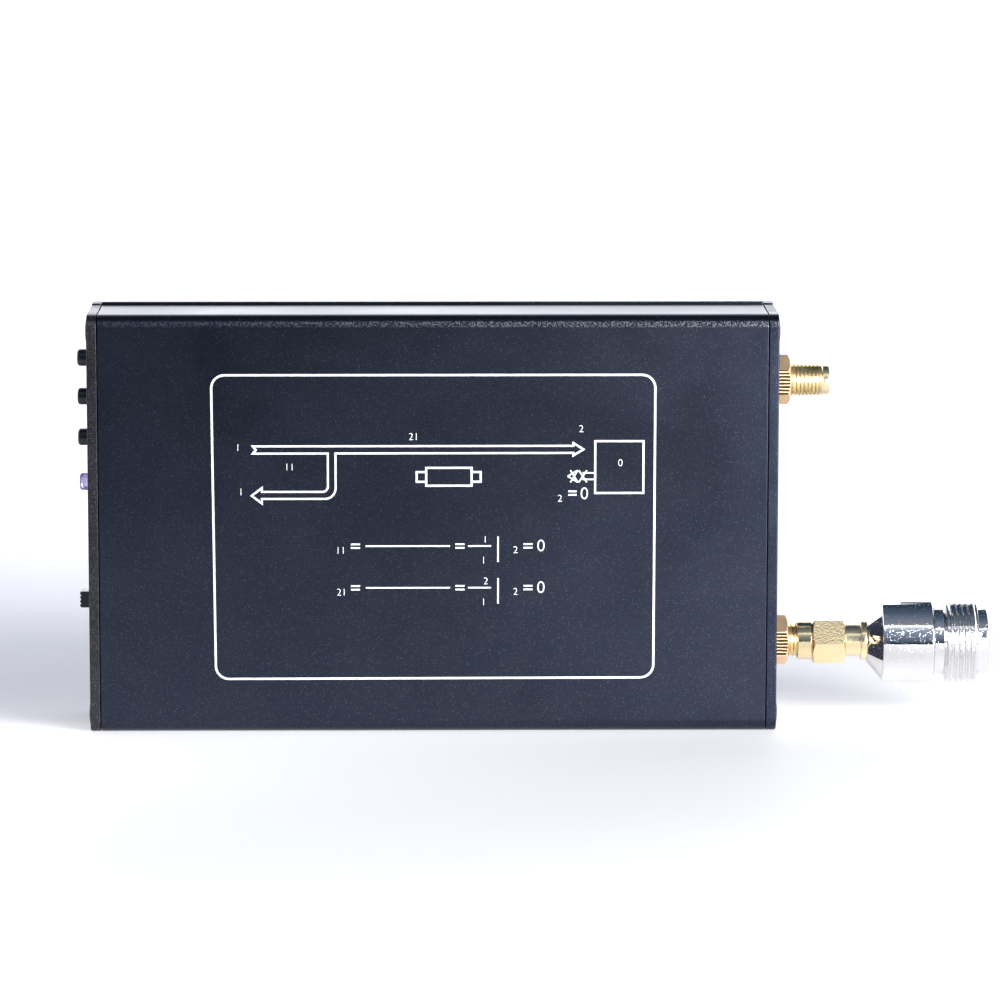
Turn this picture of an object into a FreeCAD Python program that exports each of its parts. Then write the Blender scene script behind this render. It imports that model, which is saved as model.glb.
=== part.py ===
import FreeCAD, Part
import math
import os
from types import SimpleNamespace

import Sketcher
from FreeCAD import Placement, Rotation, Vector

# A handheld antenna analyzer in a flat metal case that stands on its long side.
# X runs along the case towards the two radio ports, Y runs from the plain rear face towards the
# display, and Z is up. The origin is the middle of the side that the case stands on.
# All lengths are in millimetres.

SIZES = {
    # case: two extruded shells and two end plates
    "case_length": 125.0,
    "case_height": 76.5,
    "rear_depth": 17.0,
    "front_depth": 6.0,
    "lip_rise": 0.25,
    "wall": 1.8,
    "plate_thickness": 1.8,
    "edge_radius": 2.0,
    "plate_chamfer": 0.4,
    "tongue_thickness": 1.0,
    "tongue_gap": 0.1,
    "rib_thickness": 1.0,
    "rib_height": 1.4,
    "seat_gap": 0.05,
    # countersunk screws of the end plates
    "screw_inset": 3.2,
    "screw_channel_radius": 2.4,
    "screw_pilot_radius": 1.05,
    "screw_core_radius": 1.0,
    "screw_reach": 8.0,
    "screw_clear_radius": 1.4,
    "screw_head_radius": 2.3,
    "screw_head_rise": 0.3,
    "screw_crown_radius": 1.5,
    "recess_width": 0.55,
    "recess_span": 2.6,
    "recess_depth": 0.9,
    # display stack behind the window of the front shell
    "window_inset_x": 19.5,
    "window_inset_z": 9.25,
    "gasket_thickness": 0.4,
    "glass_overlap_x": 5.5,
    "glass_overlap_z": 2.5,
    "glass_thickness": 1.0,
    "display_inset": 1.1,
    "display_thickness": 2.5,
    "carrier_overlap": 7.5,
    "carrier_inset": 0.5,
    "carrier_thickness": 1.2,
    "carrier_screw_inset_x": 4.0,
    "carrier_screw_inset_z": 3.5,
    "stud_radius": 2.5,
    "stud_pilot_radius": 0.85,
    "carrier_screw_radius": 0.8,
    "carrier_screw_reach": 4.5,
    "carrier_screw_clear": 1.1,
    "carrier_head_radius": 1.9,
    "carrier_head_height": 0.6,
    "ribbon_width": 30.0,
    "ribbon_thickness": 0.12,
    "ribbon_drop": 0.9,
    "ribbon_lap": 2.2,
    "header_width": 26.0,
    "header_height": 4.0,
    # main board, held between the ribs of the rear shell and the tongues of the front shell
    "board_thickness": 1.6,
    "board_gap": 0.8,
    "board_side_gap": 0.3,
    "board_left_gap": 0.5,
    "can_height": 2.6,
    "can_wall": 0.25,
    "port_can_width": 34.0,
    "port_can_height": 20.0,
    "port_can_setback": 5.5,
    "mixer_can_width": 22.0,
    "mixer_can_height": 28.0,
    "mixer_can_gap": 4.0,
    "chip_width": 10.0,
    "chip_thickness": 1.4,
    "chip_gap": 4.5,
    "crystal_width": 5.0,
    "crystal_height": 3.2,
    "crystal_thickness": 1.1,
    "crystal_gap": 1.3,
    # battery on the rear wall
    "battery_inset_left": 20.5,
    "battery_inset_right": 44.5,
    "battery_inset_z": 13.25,
    "battery_thickness": 5.8,
    "battery_pad_thickness": 0.5,
    "battery_pad_margin": 4.0,
    "battery_socket_width": 6.0,
    "battery_socket_height": 5.0,
    "battery_socket_depth": 4.5,
    "battery_socket_left": 9.0,
    "battery_socket_level": 10.5,
    "battery_plug_depth": 3.6,
    "battery_plug_margin": 0.4,
    "lead_radius": 0.5,
    "lead_pitch": 2.4,
    "lead_bend_radius": 3.0,
    "lead_drop": 8.25,
    # push buttons, indicator, charging socket and power switch on the left end
    "button_top_inset": 9.0,
    "button_middle_inset": 16.1,
    "button_bottom_inset": 23.6,
    "button_radius": 1.55,
    "button_proud": 2.35,
    "button_end_radius": 0.5,
    "button_flange_radius": 1.95,
    "button_flange_thickness": 0.6,
    "button_travel": 0.3,
    "switch_body_length": 4.5,
    "switch_body_depth": 4.3,
    "switch_body_height": 6.0,
    "switch_front_wall": 0.8,
    "slide_clearance": 0.1,
    "plate_hole_clearance": 0.15,
    "dome_thickness": 0.15,
    "led_inset": 31.9,
    "led_radius": 1.58,
    "led_proud": 2.15,
    "led_end_radius": 0.45,
    "led_flange_radius": 1.85,
    "led_flange_thickness": 0.9,
    "led_leg_width": 0.5,
    "led_leg_spacing": 2.54,
    "led_leg_reach": 2.0,
    "charge_inset": 43.1,
    "charge_width": 8.94,
    "charge_thickness": 3.26,
    "charge_wall": 0.3,
    "charge_length": 7.35,
    "charge_recess": 0.2,
    "charge_tongue_width": 6.7,
    "charge_tongue_thickness": 0.7,
    "charge_tongue_setback": 0.8,
    "charge_floor": 1.0,
    "power_inset": 53.6,
    "power_knob_height": 3.0,
    "power_knob_depth": 3.0,
    "power_knob_proud": 2.4,
    "power_knob_groove": 0.35,
    "power_travel": 2.0,
    "power_shoe_height": 4.2,
    "power_shoe_length": 1.0,
    "power_body_length": 3.8,
    "power_body_depth": 3.8,
    "power_front_wall": 0.6,
    "power_end_wall": 0.9,
    "power_clearance": 0.15,
    # coaxial ports on the right end
    "port_inset_top": 13.6,
    "port_inset_bottom": 14.4,
    "jack_thread_radius": 3.175,
    "jack_thread_pitch": 0.7056,
    "jack_shank_radius": 3.0,
    "thread_cut": 0.36,
    "thread_depth": 0.3,
    "jack_reach": 10.1,
    "jack_collar_length": 1.2,
    "jack_collar_radius": 2.75,
    "jack_mouth_radius": 2.3,
    "jack_mouth_depth": 1.95,
    "jack_dielectric_radius": 2.05,
    "jack_block_width": 6.35,
    "jack_block_length": 3.2,
    "jack_leg_width": 1.0,
    "jack_leg_thickness": 0.7,
    "jack_leg_length": 3.5,
    "jack_hole_clearance": 0.1,
    "contact_radius": 0.635,
    "contact_bore_radius": 0.48,
    "contact_bore_depth": 2.9,
    "contact_tail_radius": 0.3,
    "washer_thickness": 0.5,
    "washer_radius": 4.3,
    "panel_nut_width": 8.0,
    "panel_nut_length": 2.4,
    "panel_nut_clearance": 0.03,
    "hex_chamfer": 0.45,
    # adapter on the lower port: threaded coupling nut, plug and the large threaded socket
    "coupling_engagement": 5.5,
    "coupling_collar_radius": 3.6,
    "coupling_collar_length": 2.85,
    "coupling_hex_width": 8.0,
    "coupling_hex_length": 6.0,
    "coupling_bore_clearance": 0.075,
    "coupling_land_length": 1.9,
    "coupling_land_gap": 0.06,
    "coupling_ring_gap": 0.1,
    "plug_tube_radius": 2.27,
    "plug_shoulder_radius": 2.95,
    "plug_shoulder_length": 1.1,
    "plug_gasket_thickness": 0.3,
    "plug_gasket_radius": 3.05,
    "plug_shank_radius": 2.5,
    "ring_width": 0.5,
    "ring_depth": 0.35,
    "ring_land_gap": 0.45,
    "plug_neck_radius": 3.0,
    "plug_neck_length": 2.85,
    "plug_neck_gap": 0.1,
    "plug_flange_radius": 3.7,
    "plug_flange_length": 1.15,
    "pin_radius": 0.455,
    "pin_reach": 2.4,
    "barrel_mouth_radius": 4.65,
    "barrel_cone_radius": 7.15,
    "barrel_cone_length": 2.6,
    "barrel_radius": 7.85,
    "barrel_flat_width": 14.35,
    "barrel_flat_length": 3.4,
    "barrel_round_length": 6.15,
    "barrel_edge": 0.4,
    "barrel_neck_radius": 6.25,
    "barrel_neck_length": 1.8,
    "barrel_bevel_length": 0.6,
    "socket_thread_radius": 7.94,
    "socket_thread_pitch": 1.058,
    "socket_thread_length": 5.6,
    "socket_thread_cut": 0.55,
    "socket_thread_depth": 0.45,
    "pilot_radius": 6.3,
    "pilot_length": 2.1,
    "pilot_edge": 0.5,
    "socket_bore_radius": 4.05,
    "socket_bore_depth": 9.0,
    "socket_insulator_radius": 3.5,
    "socket_floor": 2.0,
    "socket_contact_radius": 1.52,
    "socket_contact_bore": 0.83,
    "socket_contact_reach": 4.75,
    "socket_contact_slit": 0.3,
    "socket_contact_slit_length": 4.0,
}


class Size:
    """A length that carries its number together with the sheet expression it comes from."""

    def __init__(self, number, text):
        self.number = float(number)
        self.text = text

    def joined(self, sign, other, number):
        return Size(number, "(%s %s %s)" % (self.text, sign, other.text))

    def __add__(self, other):
        other = as_size(other)
        return self.joined("+", other, self.number + other.number)

    def __sub__(self, other):
        other = as_size(other)
        return self.joined("-", other, self.number - other.number)

    def __mul__(self, other):
        other = as_size(other)
        return self.joined("*", other, self.number * other.number)

    def __truediv__(self, other):
        other = as_size(other)
        return self.joined("/", other, self.number / other.number)

    def __radd__(self, other):
        return as_size(other) + self

    def __rsub__(self, other):
        return as_size(other) - self

    def __rmul__(self, other):
        return as_size(other) * self

    def __neg__(self):
        return as_size(0) - self


def as_size(value):
    return value if isinstance(value, Size) else Size(value, repr(value))


doc = FreeCAD.newDocument("AntennaAnalyzer")
sheet = doc.addObject("Spreadsheet::Sheet", "Sizes")
for row, (word, value) in enumerate(SIZES.items(), start=1):
    sheet.set("A%d" % row, word)
    sheet.set("B%d" % row, "%.4f" % value)
    sheet.setAlias("B%d" % row, word)
doc.recompute()
S = SimpleNamespace(**{word: Size(value, "Sizes." + word) for word, value in SIZES.items()})

ZERO = as_size(0)
SUB_PARTS = []


def bind(thing, path, size):
    """Ties a property to the sheet."""
    thing.setExpression(path, as_size(size).text)


def keep(thing, label):
    """Names an object as one sub-part of the analyzer."""
    thing.Label = label
    SUB_PARTS.append(thing)
    return thing


# Part primitives whose sizes and places are tied to the sheet

LETTERS = ("x", "y", "z")


def place(thing, x, y, z):
    for letter, size in zip(LETTERS, (x, y, z)):
        bind(thing, "Placement.Base." + letter, size)


def block(name, x, y, z):
    """A box; x, y and z are (low, high) pairs."""
    solid = doc.addObject("Part::Box", name)
    for side, (low, high) in zip(("Length", "Width", "Height"), (x, y, z)):
        bind(solid, side, high - low)
    place(solid, x[0], y[0], z[0])
    return solid


ALONG = {
    "x": Rotation(Vector(0, 1, 0), 90),
    "y": Rotation(Vector(1, 0, 0), -90),
}


def rod(name, radius, span, y=ZERO, z=ZERO, x=ZERO, along="x"):
    """A cylinder along X or Y over the (low, high) span."""
    solid = doc.addObject("Part::Cylinder", name)
    solid.Placement = Placement(Vector(), ALONG[along])
    bind(solid, "Radius", radius)
    bind(solid, "Height", span[1] - span[0])
    start = (span[0], y, z) if along == "x" else (x, span[0], z)
    place(solid, *start)
    return solid


def taper(name, radius_low, radius_high, span, y, z):
    """A cone frustum along X."""
    solid = doc.addObject("Part::Cone", name)
    solid.Placement = Placement(Vector(), ALONG["x"])
    bind(solid, "Radius1", radius_low)
    bind(solid, "Radius2", radius_high)
    bind(solid, "Height", span[1] - span[0])
    place(solid, span[0], y, z)
    return solid


def join(name, shapes):
    whole = doc.addObject("Part::MultiFuse", name)
    whole.Shapes = shapes
    return whole


def cut(name, base, tools):
    rest = doc.addObject("Part::Cut", name)
    rest.Base = base
    rest.Tool = tools[0] if len(tools) == 1 else join(name + "_tools", tools)
    return rest


def group(name, solids):
    """Separate solids that share one node."""
    whole = doc.addObject("Part::Compound", name)
    whole.Links = solids
    return whole


# PartDesign bodies and their sketches


def new_body(name):
    body = doc.addObject("PartDesign::Body", name)
    return keep(body, name)


def new_sketch(body, plane, offset=None):
    """A sketch on one of the body's own origin planes, moved along that plane's normal."""
    sketch = body.newObject("Sketcher::SketchObject", body.Name + "_sketch")
    planes = {feature.Role: feature for feature in body.Origin.OriginFeatures}
    sketch.AttachmentSupport = (planes[plane], [""])
    sketch.MapMode = "FlatFace"
    if offset is not None:
        bind(sketch, "AttachmentOffset.Base.z", offset)
    return sketch


def pin_point(sketch, geometry, end, point):
    """Holds a point of the sketch at its distances from the sketch's origin."""
    for kind, size in zip(("DistanceX", "DistanceY"), point):
        size = as_size(size)
        index = sketch.addConstraint(Sketcher.Constraint(kind, -1, 1, geometry, end, size.number))
        sketch.setExpression("Constraints[%d]" % index, size.text)


def draw_polygon(sketch, points):
    corners = [Vector(as_size(x).number, as_size(y).number, 0) for x, y in points]
    first = sketch.GeometryCount
    for start, end in zip(corners, corners[1:] + corners[:1]):
        sketch.addGeometry(Part.LineSegment(start, end), False)
    count = len(corners)
    for step in range(count):
        following = first + (step + 1) % count
        sketch.addConstraint(Sketcher.Constraint("Coincident", first + step, 2, following, 1))
        pin_point(sketch, first + step, 1, points[step])


def draw_rectangle(sketch, low, high):
    draw_polygon(sketch, [low, (high[0], low[1]), high, (low[0], high[1])])


def draw_circle(sketch, centre, radius):
    middle = Vector(as_size(centre[0]).number, as_size(centre[1]).number, 0)
    circle = sketch.addGeometry(Part.Circle(middle, Vector(0, 0, 1), radius.number), False)
    index = sketch.addConstraint(Sketcher.Constraint("Radius", circle, radius.number))
    sketch.setExpression("Constraints[%d]" % index, radius.text)
    pin_point(sketch, circle, 3, centre)


def draw_stadium(sketch, centre, half_straight, radius):
    """A long hole with round ends, upright in the sketch."""
    x, y = centre
    low, high = y - half_straight, y + half_straight
    up = Vector(0, 0, 1)
    arcs = []
    for level, start in ((high, 0), (low, math.pi)):
        ring = Part.Circle(Vector(x.number, level.number, 0), up, radius.number)
        arcs.append(sketch.addGeometry(Part.ArcOfCircle(ring, start, start + math.pi), False))
    lines = []
    for side, first, second in ((x - radius, high, low), (x + radius, low, high)):
        start = Vector(side.number, first.number, 0)
        end = Vector(side.number, second.number, 0)
        lines.append(sketch.addGeometry(Part.LineSegment(start, end), False))
    for arc, arc_end, line, line_end in (
        (arcs[0], 2, lines[0], 1),
        (arcs[1], 1, lines[0], 2),
        (arcs[1], 2, lines[1], 1),
        (arcs[0], 1, lines[1], 2),
    ):
        sketch.addConstraint(Sketcher.Constraint("Tangent", arc, arc_end, line, line_end))
    sketch.addConstraint(Sketcher.Constraint("Equal", arcs[0], arcs[1]))
    index = sketch.addConstraint(Sketcher.Constraint("Radius", arcs[0], radius.number))
    sketch.setExpression("Constraints[%d]" % index, radius.text)
    pin_point(sketch, arcs[0], 3, (x, high))
    pin_point(sketch, arcs[1], 3, (x, low))


def feature(body, kind, sketch, name):
    added = body.newObject("PartDesign::" + kind, body.Name + "_" + name)
    added.Profile = sketch
    sketch.Visibility = False
    return added


def pad(body, sketch, length, name="pad", symmetric=False, reverse=False):
    added = feature(body, "Pad", sketch, name)
    if symmetric:
        added.SideType = "Symmetric"
    added.Reversed = reverse
    bind(added, "Length", length)
    return added


def pocket(body, sketch, depth, name="pocket", reverse=False):
    added = feature(body, "Pocket", sketch, name)
    added.Reversed = reverse
    bind(added, "Length", depth)
    return added


def turn(body, sketch, kind="Revolution", name="turned"):
    """Turns a profile about the body's X axis."""
    added = feature(body, kind, sketch, name)
    added.ReferenceAxis = (sketch, ["H_Axis"])
    added.Angle = 360
    return added


def turned_body(name, profile):
    """A body of revolution about X; the profile's points are (x, radius) pairs."""
    body = new_body(name)
    sketch = new_sketch(body, "XY_Plane")
    draw_polygon(sketch, profile)
    turn(body, sketch)
    return body


def edges_where(body, test):
    doc.recompute()
    edges = body.Tip.Shape.Edges
    return ["Edge%d" % (number + 1) for number, edge in enumerate(edges) if test(edge)]


def dress(body, kind, edges, size, path):
    """A fillet or chamfer on the chosen edges."""
    base = body.Tip
    added = body.newObject("PartDesign::" + kind, body.Name + "_" + kind.lower())
    added.Base = (base, edges)
    bind(added, path, size)
    return added


def cut_thread(body, radius, start, end, pitch, width, depth):
    """Rings cut at the thread's pitch between start and end along X."""
    overlap = depth / 5
    sketch = new_sketch(body, "XY_Plane")
    middle = start + pitch / 2
    draw_polygon(
        sketch,
        [
            (middle - width / 2, radius + overlap),
            (middle, radius - depth),
            (middle + width / 2, radius + overlap),
        ],
    )
    groove = turn(body, sketch, "Groove", "thread")
    turns = int((end.number - start.number) / pitch.number)
    rings = body.newObject("PartDesign::LinearPattern", body.Name + "_rings")
    rings.Originals = [groove]
    rings.Direction = (sketch, ["H_Axis"])
    rings.Mode = "Spacing"
    bind(rings, "Offset", pitch)
    rings.Occurrences = turns
    body.Tip = rings


def draw_hexagon(sketch, across_flats, corner_up):
    """A hexagon about the sketch's origin."""
    radius = across_flats / math.sqrt(3)
    start = 90 if corner_up else 0
    points = []
    for step in range(6):
        angle = math.radians(start + 60 * step)
        points.append((radius * round(math.cos(angle), 9), radius * round(math.sin(angle), 9)))
    draw_polygon(sketch, points)


def chamfer_hexagon(body, across_flats, end, chamfer, outward):
    """Turns the corners off one end of a hexagon; outward is +1 or -1 along X."""
    sketch = new_sketch(body, "XY_Plane")
    reach = across_flats / 2 * 1.25
    slope_start = across_flats / 2 - chamfer / 2
    rise = reach - slope_start
    draw_polygon(
        sketch,
        [
            (end + outward * 0.05, slope_start),
            (end + outward * 0.05, reach),
            (end - outward * rise * 0.58, reach),
        ],
    )
    turn(body, sketch, "Groove", "corner_cut")


# Planes that the pieces share, worked out from the sheet

half_length = S.case_length / 2
shell_half = half_length - S.plate_thickness
back = -(S.rear_depth + S.front_depth) / 2
front = (S.rear_depth + S.front_depth) / 2
joint = back + S.rear_depth
top = S.case_height
lip_top = S.case_height + S.lip_rise
middle_level = S.case_height / 2
front_inside = front - S.wall
back_inside = back + S.wall
gasket_rear = front_inside - S.gasket_thickness
glass_rear = gasket_rear - S.glass_thickness
display_rear = glass_rear - S.display_thickness
carrier_rear = display_rear - S.carrier_thickness
board_front = carrier_rear - S.board_gap
board_rear = board_front - S.board_thickness
port_y = (board_front + board_rear) / 2
port_levels = {
    "upper": top - S.port_inset_top,
    "lower": ZERO + S.port_inset_bottom,
}
button_levels = {
    "top": top - S.button_top_inset,
    "middle": top - S.button_middle_inset,
    "bottom": top - S.button_bottom_inset,
}
led_level = top - S.led_inset
charge_level = top - S.charge_inset
power_level = top - S.power_inset
window_width = S.case_length - S.window_inset_x * 2
window_height = S.case_height - S.window_inset_z * 2
glass_width = window_width + S.glass_overlap_x * 2
glass_height = window_height + S.glass_overlap_z * 2
display_width = glass_width - S.display_inset * 2
display_height = glass_height - S.display_inset * 2
carrier_width = glass_width + S.carrier_overlap * 2
carrier_height = glass_height - S.carrier_inset * 2
board_left = -shell_half + S.board_left_gap
board_right = shell_half - S.jack_block_length
button_y = board_rear - S.switch_body_depth / 2
led_y = board_rear - S.led_flange_radius
charge_y = board_rear - S.charge_thickness / 2
power_y = board_rear - S.power_body_depth / 2
screw_spots = [
    (back + S.screw_inset, S.screw_inset),
    (back + S.screw_inset, top - S.screw_inset),
    (front - S.screw_inset, S.screw_inset),
    (front - S.screw_inset, top - S.screw_inset),
]


def is_long_edge_at(edge, corners):
    """True for a straight edge along X that lies on one of the (y, z) corners."""
    if len(edge.Vertexes) != 2:
        return False
    start, end = (vertex.Point for vertex in edge.Vertexes)
    if abs(start.y - end.y) > 1e-6 or abs(start.z - end.z) > 1e-6:
        return False
    return any(
        abs(start.y - y.number) < 1e-6 and abs(start.z - z.number) < 1e-6 for y, z in corners
    )


# Case


def make_rear_shell():
    """An extruded channel: rear wall, two sides, ribs for the board and two screw channels."""
    body = new_body("rear_shell")
    profile = new_sketch(body, "YZ_Plane")
    draw_polygon(
        profile,
        [
            (back, ZERO),
            (joint, ZERO),
            (joint, S.wall),
            (back_inside, S.wall),
            (back_inside, top - S.wall),
            (joint, top - S.wall),
            (joint, top),
            (back, top),
        ],
    )
    pad(body, profile, shell_half * 2, symmetric=True)
    ribs = new_sketch(body, "YZ_Plane")
    rib_front = board_rear - S.seat_gap
    rib_back = rib_front - S.rib_thickness
    rib_root = S.wall / 2
    rib_tip = S.wall + S.rib_height
    draw_rectangle(ribs, (rib_back, rib_root), (rib_front, rib_tip))
    draw_rectangle(ribs, (rib_back, top - rib_tip), (rib_front, top - rib_root))
    pad(body, ribs, shell_half * 2, "ribs", symmetric=True)
    channels = new_sketch(body, "YZ_Plane")
    holes = new_sketch(body, "YZ_Plane", -shell_half)
    for spot in screw_spots[:2]:
        draw_circle(channels, spot, S.screw_channel_radius)
        draw_circle(holes, spot, S.screw_pilot_radius)
    pad(body, channels, shell_half * 2, "channels", symmetric=True)
    pocket(body, holes, shell_half * 2, "holes", reverse=True)
    corners = [(back, ZERO), (back, top)]
    edges = edges_where(body, lambda edge: is_long_edge_at(edge, corners))
    dress(body, "Fillet", edges, S.edge_radius, "Radius")


def make_front_shell():
    """The shallow front channel with the display window, tongues and studs for the display."""
    body = new_body("front_shell")
    tongue_end = board_front + S.seat_gap
    outer_low = S.wall + S.tongue_gap
    inner_low = outer_low + S.tongue_thickness
    outer_high = top - outer_low
    inner_high = top - inner_low
    profile = new_sketch(body, "YZ_Plane")
    draw_polygon(
        profile,
        [
            (joint, ZERO),
            (front, ZERO),
            (front, lip_top),
            (joint, lip_top),
            (joint, outer_high),
            (tongue_end, outer_high),
            (tongue_end, inner_high),
            (front_inside, inner_high),
            (front_inside, inner_low),
            (tongue_end, inner_low),
            (tongue_end, outer_low),
            (joint, outer_low),
        ],
    )
    pad(body, profile, shell_half * 2, symmetric=True)
    channels = new_sketch(body, "YZ_Plane")
    holes = new_sketch(body, "YZ_Plane", -shell_half)
    for spot in screw_spots[2:]:
        draw_circle(channels, spot, S.screw_channel_radius)
        draw_circle(holes, spot, S.screw_pilot_radius)
    pad(body, channels, shell_half * 2, "channels", symmetric=True)
    pocket(body, holes, shell_half * 2, "holes", reverse=True)
    window = new_sketch(body, "XZ_Plane", -front)
    half_width = window_width / 2
    half_height = window_height / 2
    draw_rectangle(
        window,
        (-half_width, middle_level - half_height),
        (half_width, middle_level + half_height),
    )
    pocket(body, window, S.wall * 2, "window", reverse=True)
    studs = new_sketch(body, "XZ_Plane", -(front - S.wall / 2))
    pilots = new_sketch(body, "XZ_Plane", -display_rear)
    for x, z in carrier_screw_spots():
        draw_circle(studs, (x, z), S.stud_radius)
        draw_circle(pilots, (x, z), S.stud_pilot_radius)
    pad(body, studs, front - S.wall / 2 - display_rear, "studs")
    pocket(body, pilots, S.carrier_screw_reach, "pilots")
    corners = [(front, ZERO), (front, lip_top)]
    edges = edges_where(body, lambda edge: is_long_edge_at(edge, corners))
    dress(body, "Fillet", edges, S.edge_radius, "Radius")


def carrier_screw_spots():
    reach_x = carrier_width / 2 - S.carrier_screw_inset_x
    reach_z = carrier_height / 2 - S.carrier_screw_inset_z
    return [
        (side_x * reach_x, middle_level + side_z * reach_z)
        for side_x in (-1, 1)
        for side_z in (-1, 1)
    ]


def end_plate(name, side):
    """A plate with the stepped outline of the two shells; side is -1 on the left."""
    body = new_body(name)
    inner_face = side * shell_half
    outer_face = side * half_length
    outline = new_sketch(body, "YZ_Plane", inner_face)
    draw_polygon(
        outline,
        [
            (back, ZERO),
            (front, ZERO),
            (front, lip_top),
            (joint, lip_top),
            (joint, top),
            (back, top),
        ],
    )
    pad(body, outline, S.plate_thickness, reverse=(side < 0))
    corners = [(back, ZERO), (back, top), (front, ZERO), (front, lip_top)]
    edges = edges_where(body, lambda edge: is_long_edge_at(edge, corners))
    dress(body, "Fillet", edges, S.edge_radius, "Radius")
    rim = outer_face.number
    edges = edges_where(
        body, lambda edge: all(abs(vertex.X - rim) < 1e-6 for vertex in edge.Vertexes)
    )
    dress(body, "Chamfer", edges, S.plate_chamfer, "Size")
    spots = new_sketch(body, "YZ_Plane", outer_face)
    for spot in screw_spots:
        draw_circle(spots, spot, S.screw_clear_radius)
    doc.recompute()
    holes = feature(body, "Hole", spots, "screw_holes")
    holes.Reversed = side < 0
    holes.DepthType = "ThroughAll"
    holes.HoleCutType = "Countersink"
    holes.HoleCutCustomValues = True
    holes.HoleCutCountersinkAngle = 90
    bind(holes, "Diameter", S.screw_clear_radius * 2)
    bind(holes, "HoleCutDiameter", (S.screw_head_radius + S.seat_gap) * 2)
    return body


def make_left_end_plate():
    """The end plate over the buttons, the indicator, the charging socket and the switch."""
    body = end_plate("left_end_plate", -1)
    openings = new_sketch(body, "YZ_Plane", -half_length)
    for level in button_levels.values():
        draw_circle(openings, (button_y, level), S.button_radius + S.plate_hole_clearance)
    draw_circle(openings, (led_y, led_level), S.led_radius + S.slide_clearance)
    end_radius = S.charge_thickness / 2
    draw_stadium(
        openings,
        (charge_y, charge_level),
        S.charge_width / 2 - end_radius,
        end_radius + S.plate_hole_clearance,
    )
    half_depth = S.power_knob_depth / 2 + S.power_clearance
    half_height = S.power_knob_height / 2 + S.power_clearance
    draw_rectangle(
        openings,
        (power_y - half_depth, power_level - half_height),
        (power_y + half_depth, power_level + S.power_travel + half_height),
    )
    pocket(body, openings, S.plate_thickness * 2, "openings", reverse=True)


def make_right_end_plate():
    """The end plate that the two ports are clamped to."""
    body = end_plate("right_end_plate", 1)
    openings = new_sketch(body, "YZ_Plane", half_length)
    for level in port_levels.values():
        hole_radius = S.jack_thread_radius + S.jack_hole_clearance
        draw_circle(openings, (port_y, level), hole_radius)
    pocket(body, openings, S.plate_thickness * 2, "openings")


def plate_screw(name, side, y, z):
    """A countersunk screw with a slightly raised head and a cross recess."""
    face = side * half_length
    head_depth = S.screw_head_radius - S.screw_core_radius
    head_low = face - side * head_depth
    crown = face + side * S.screw_head_rise
    tip = side * (shell_half - S.screw_reach)
    if side < 0:
        spans = ((face, head_low), (crown, face), (face, tip))
        head = taper(name + "_head", S.screw_head_radius, S.screw_core_radius, spans[0], y, z)
        dome = taper(name + "_dome", S.screw_crown_radius, S.screw_head_radius, spans[1], y, z)
    else:
        spans = ((head_low, face), (face, crown), (tip, face))
        head = taper(name + "_head", S.screw_core_radius, S.screw_head_radius, spans[0], y, z)
        dome = taper(name + "_dome", S.screw_head_radius, S.screw_crown_radius, spans[1], y, z)
    core = rod(name + "_core", S.screw_core_radius, spans[2], y, z)
    solid = join(name + "_solid", [head, dome, core])
    recess_end = crown - side * S.recess_depth
    across = S.recess_span / 2
    slim = S.recess_width / 2
    span = (crown, recess_end) if side < 0 else (recess_end, crown)
    bars = [
        block(name + "_bar_a", span, (y - across, y + across), (z - slim, z + slim)),
        block(name + "_bar_b", span, (y - slim, y + slim), (z - across, z + across)),
    ]
    return cut(name, solid, bars)


def make_plate_screws():
    for label, side in (("left_plate_screws", -1), ("right_plate_screws", 1)):
        screws = [
            plate_screw("%s_%d" % (label, number), side, y, z)
            for number, (y, z) in enumerate(screw_spots)
        ]
        keep(group(label, screws), label)


# Display stack


def centred(width):
    return (-width / 2, width / 2)


def centred_on(middle, width):
    return (middle - width / 2, middle + width / 2)


def make_display():
    gasket = block(
        "gasket_sheet",
        centred(glass_width),
        (gasket_rear, front_inside),
        centred_on(middle_level, glass_height),
    )
    opening = block(
        "gasket_opening",
        centred(window_width),
        (gasket_rear, front_inside),
        centred_on(middle_level, window_height),
    )
    keep(cut("window_gasket", gasket, [opening]), "window_gasket")
    glass = block(
        "touch_glass",
        centred(glass_width),
        (glass_rear, gasket_rear),
        centred_on(middle_level, glass_height),
    )
    keep(glass, "touch_glass")
    display = block(
        "display_module",
        centred(display_width),
        (display_rear, glass_rear),
        centred_on(middle_level, display_height),
    )
    keep(display, "display_module")
    board = block(
        "carrier_sheet",
        centred(carrier_width),
        (carrier_rear, display_rear),
        centred_on(middle_level, carrier_height),
    )
    span = (carrier_rear, display_rear)
    holes = [
        rod("carrier_hole_%d" % number, S.carrier_screw_clear, span, x=x, z=z, along="y")
        for number, (x, z) in enumerate(carrier_screw_spots())
    ]
    keep(cut("display_carrier", board, holes), "display_carrier")
    screws = []
    for number, (x, z) in enumerate(carrier_screw_spots()):
        name = "carrier_screw_%d" % number
        head_span = (carrier_rear - S.carrier_head_height, carrier_rear)
        core_span = (carrier_rear, display_rear + S.carrier_screw_reach - S.seat_gap)
        head = rod(name + "_head", S.carrier_head_radius, head_span, x=x, z=z, along="y")
        core = rod(name + "_core", S.carrier_screw_radius, core_span, x=x, z=z, along="y")
        screws.append(join(name, [head, core]))
    keep(group("display_screws", screws), "display_screws")
    header = block(
        "display_header",
        centred(S.header_width),
        (board_front, carrier_rear),
        centred_on(middle_level + display_height / 3, S.header_height),
    )
    keep(header, "display_header")


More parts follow.
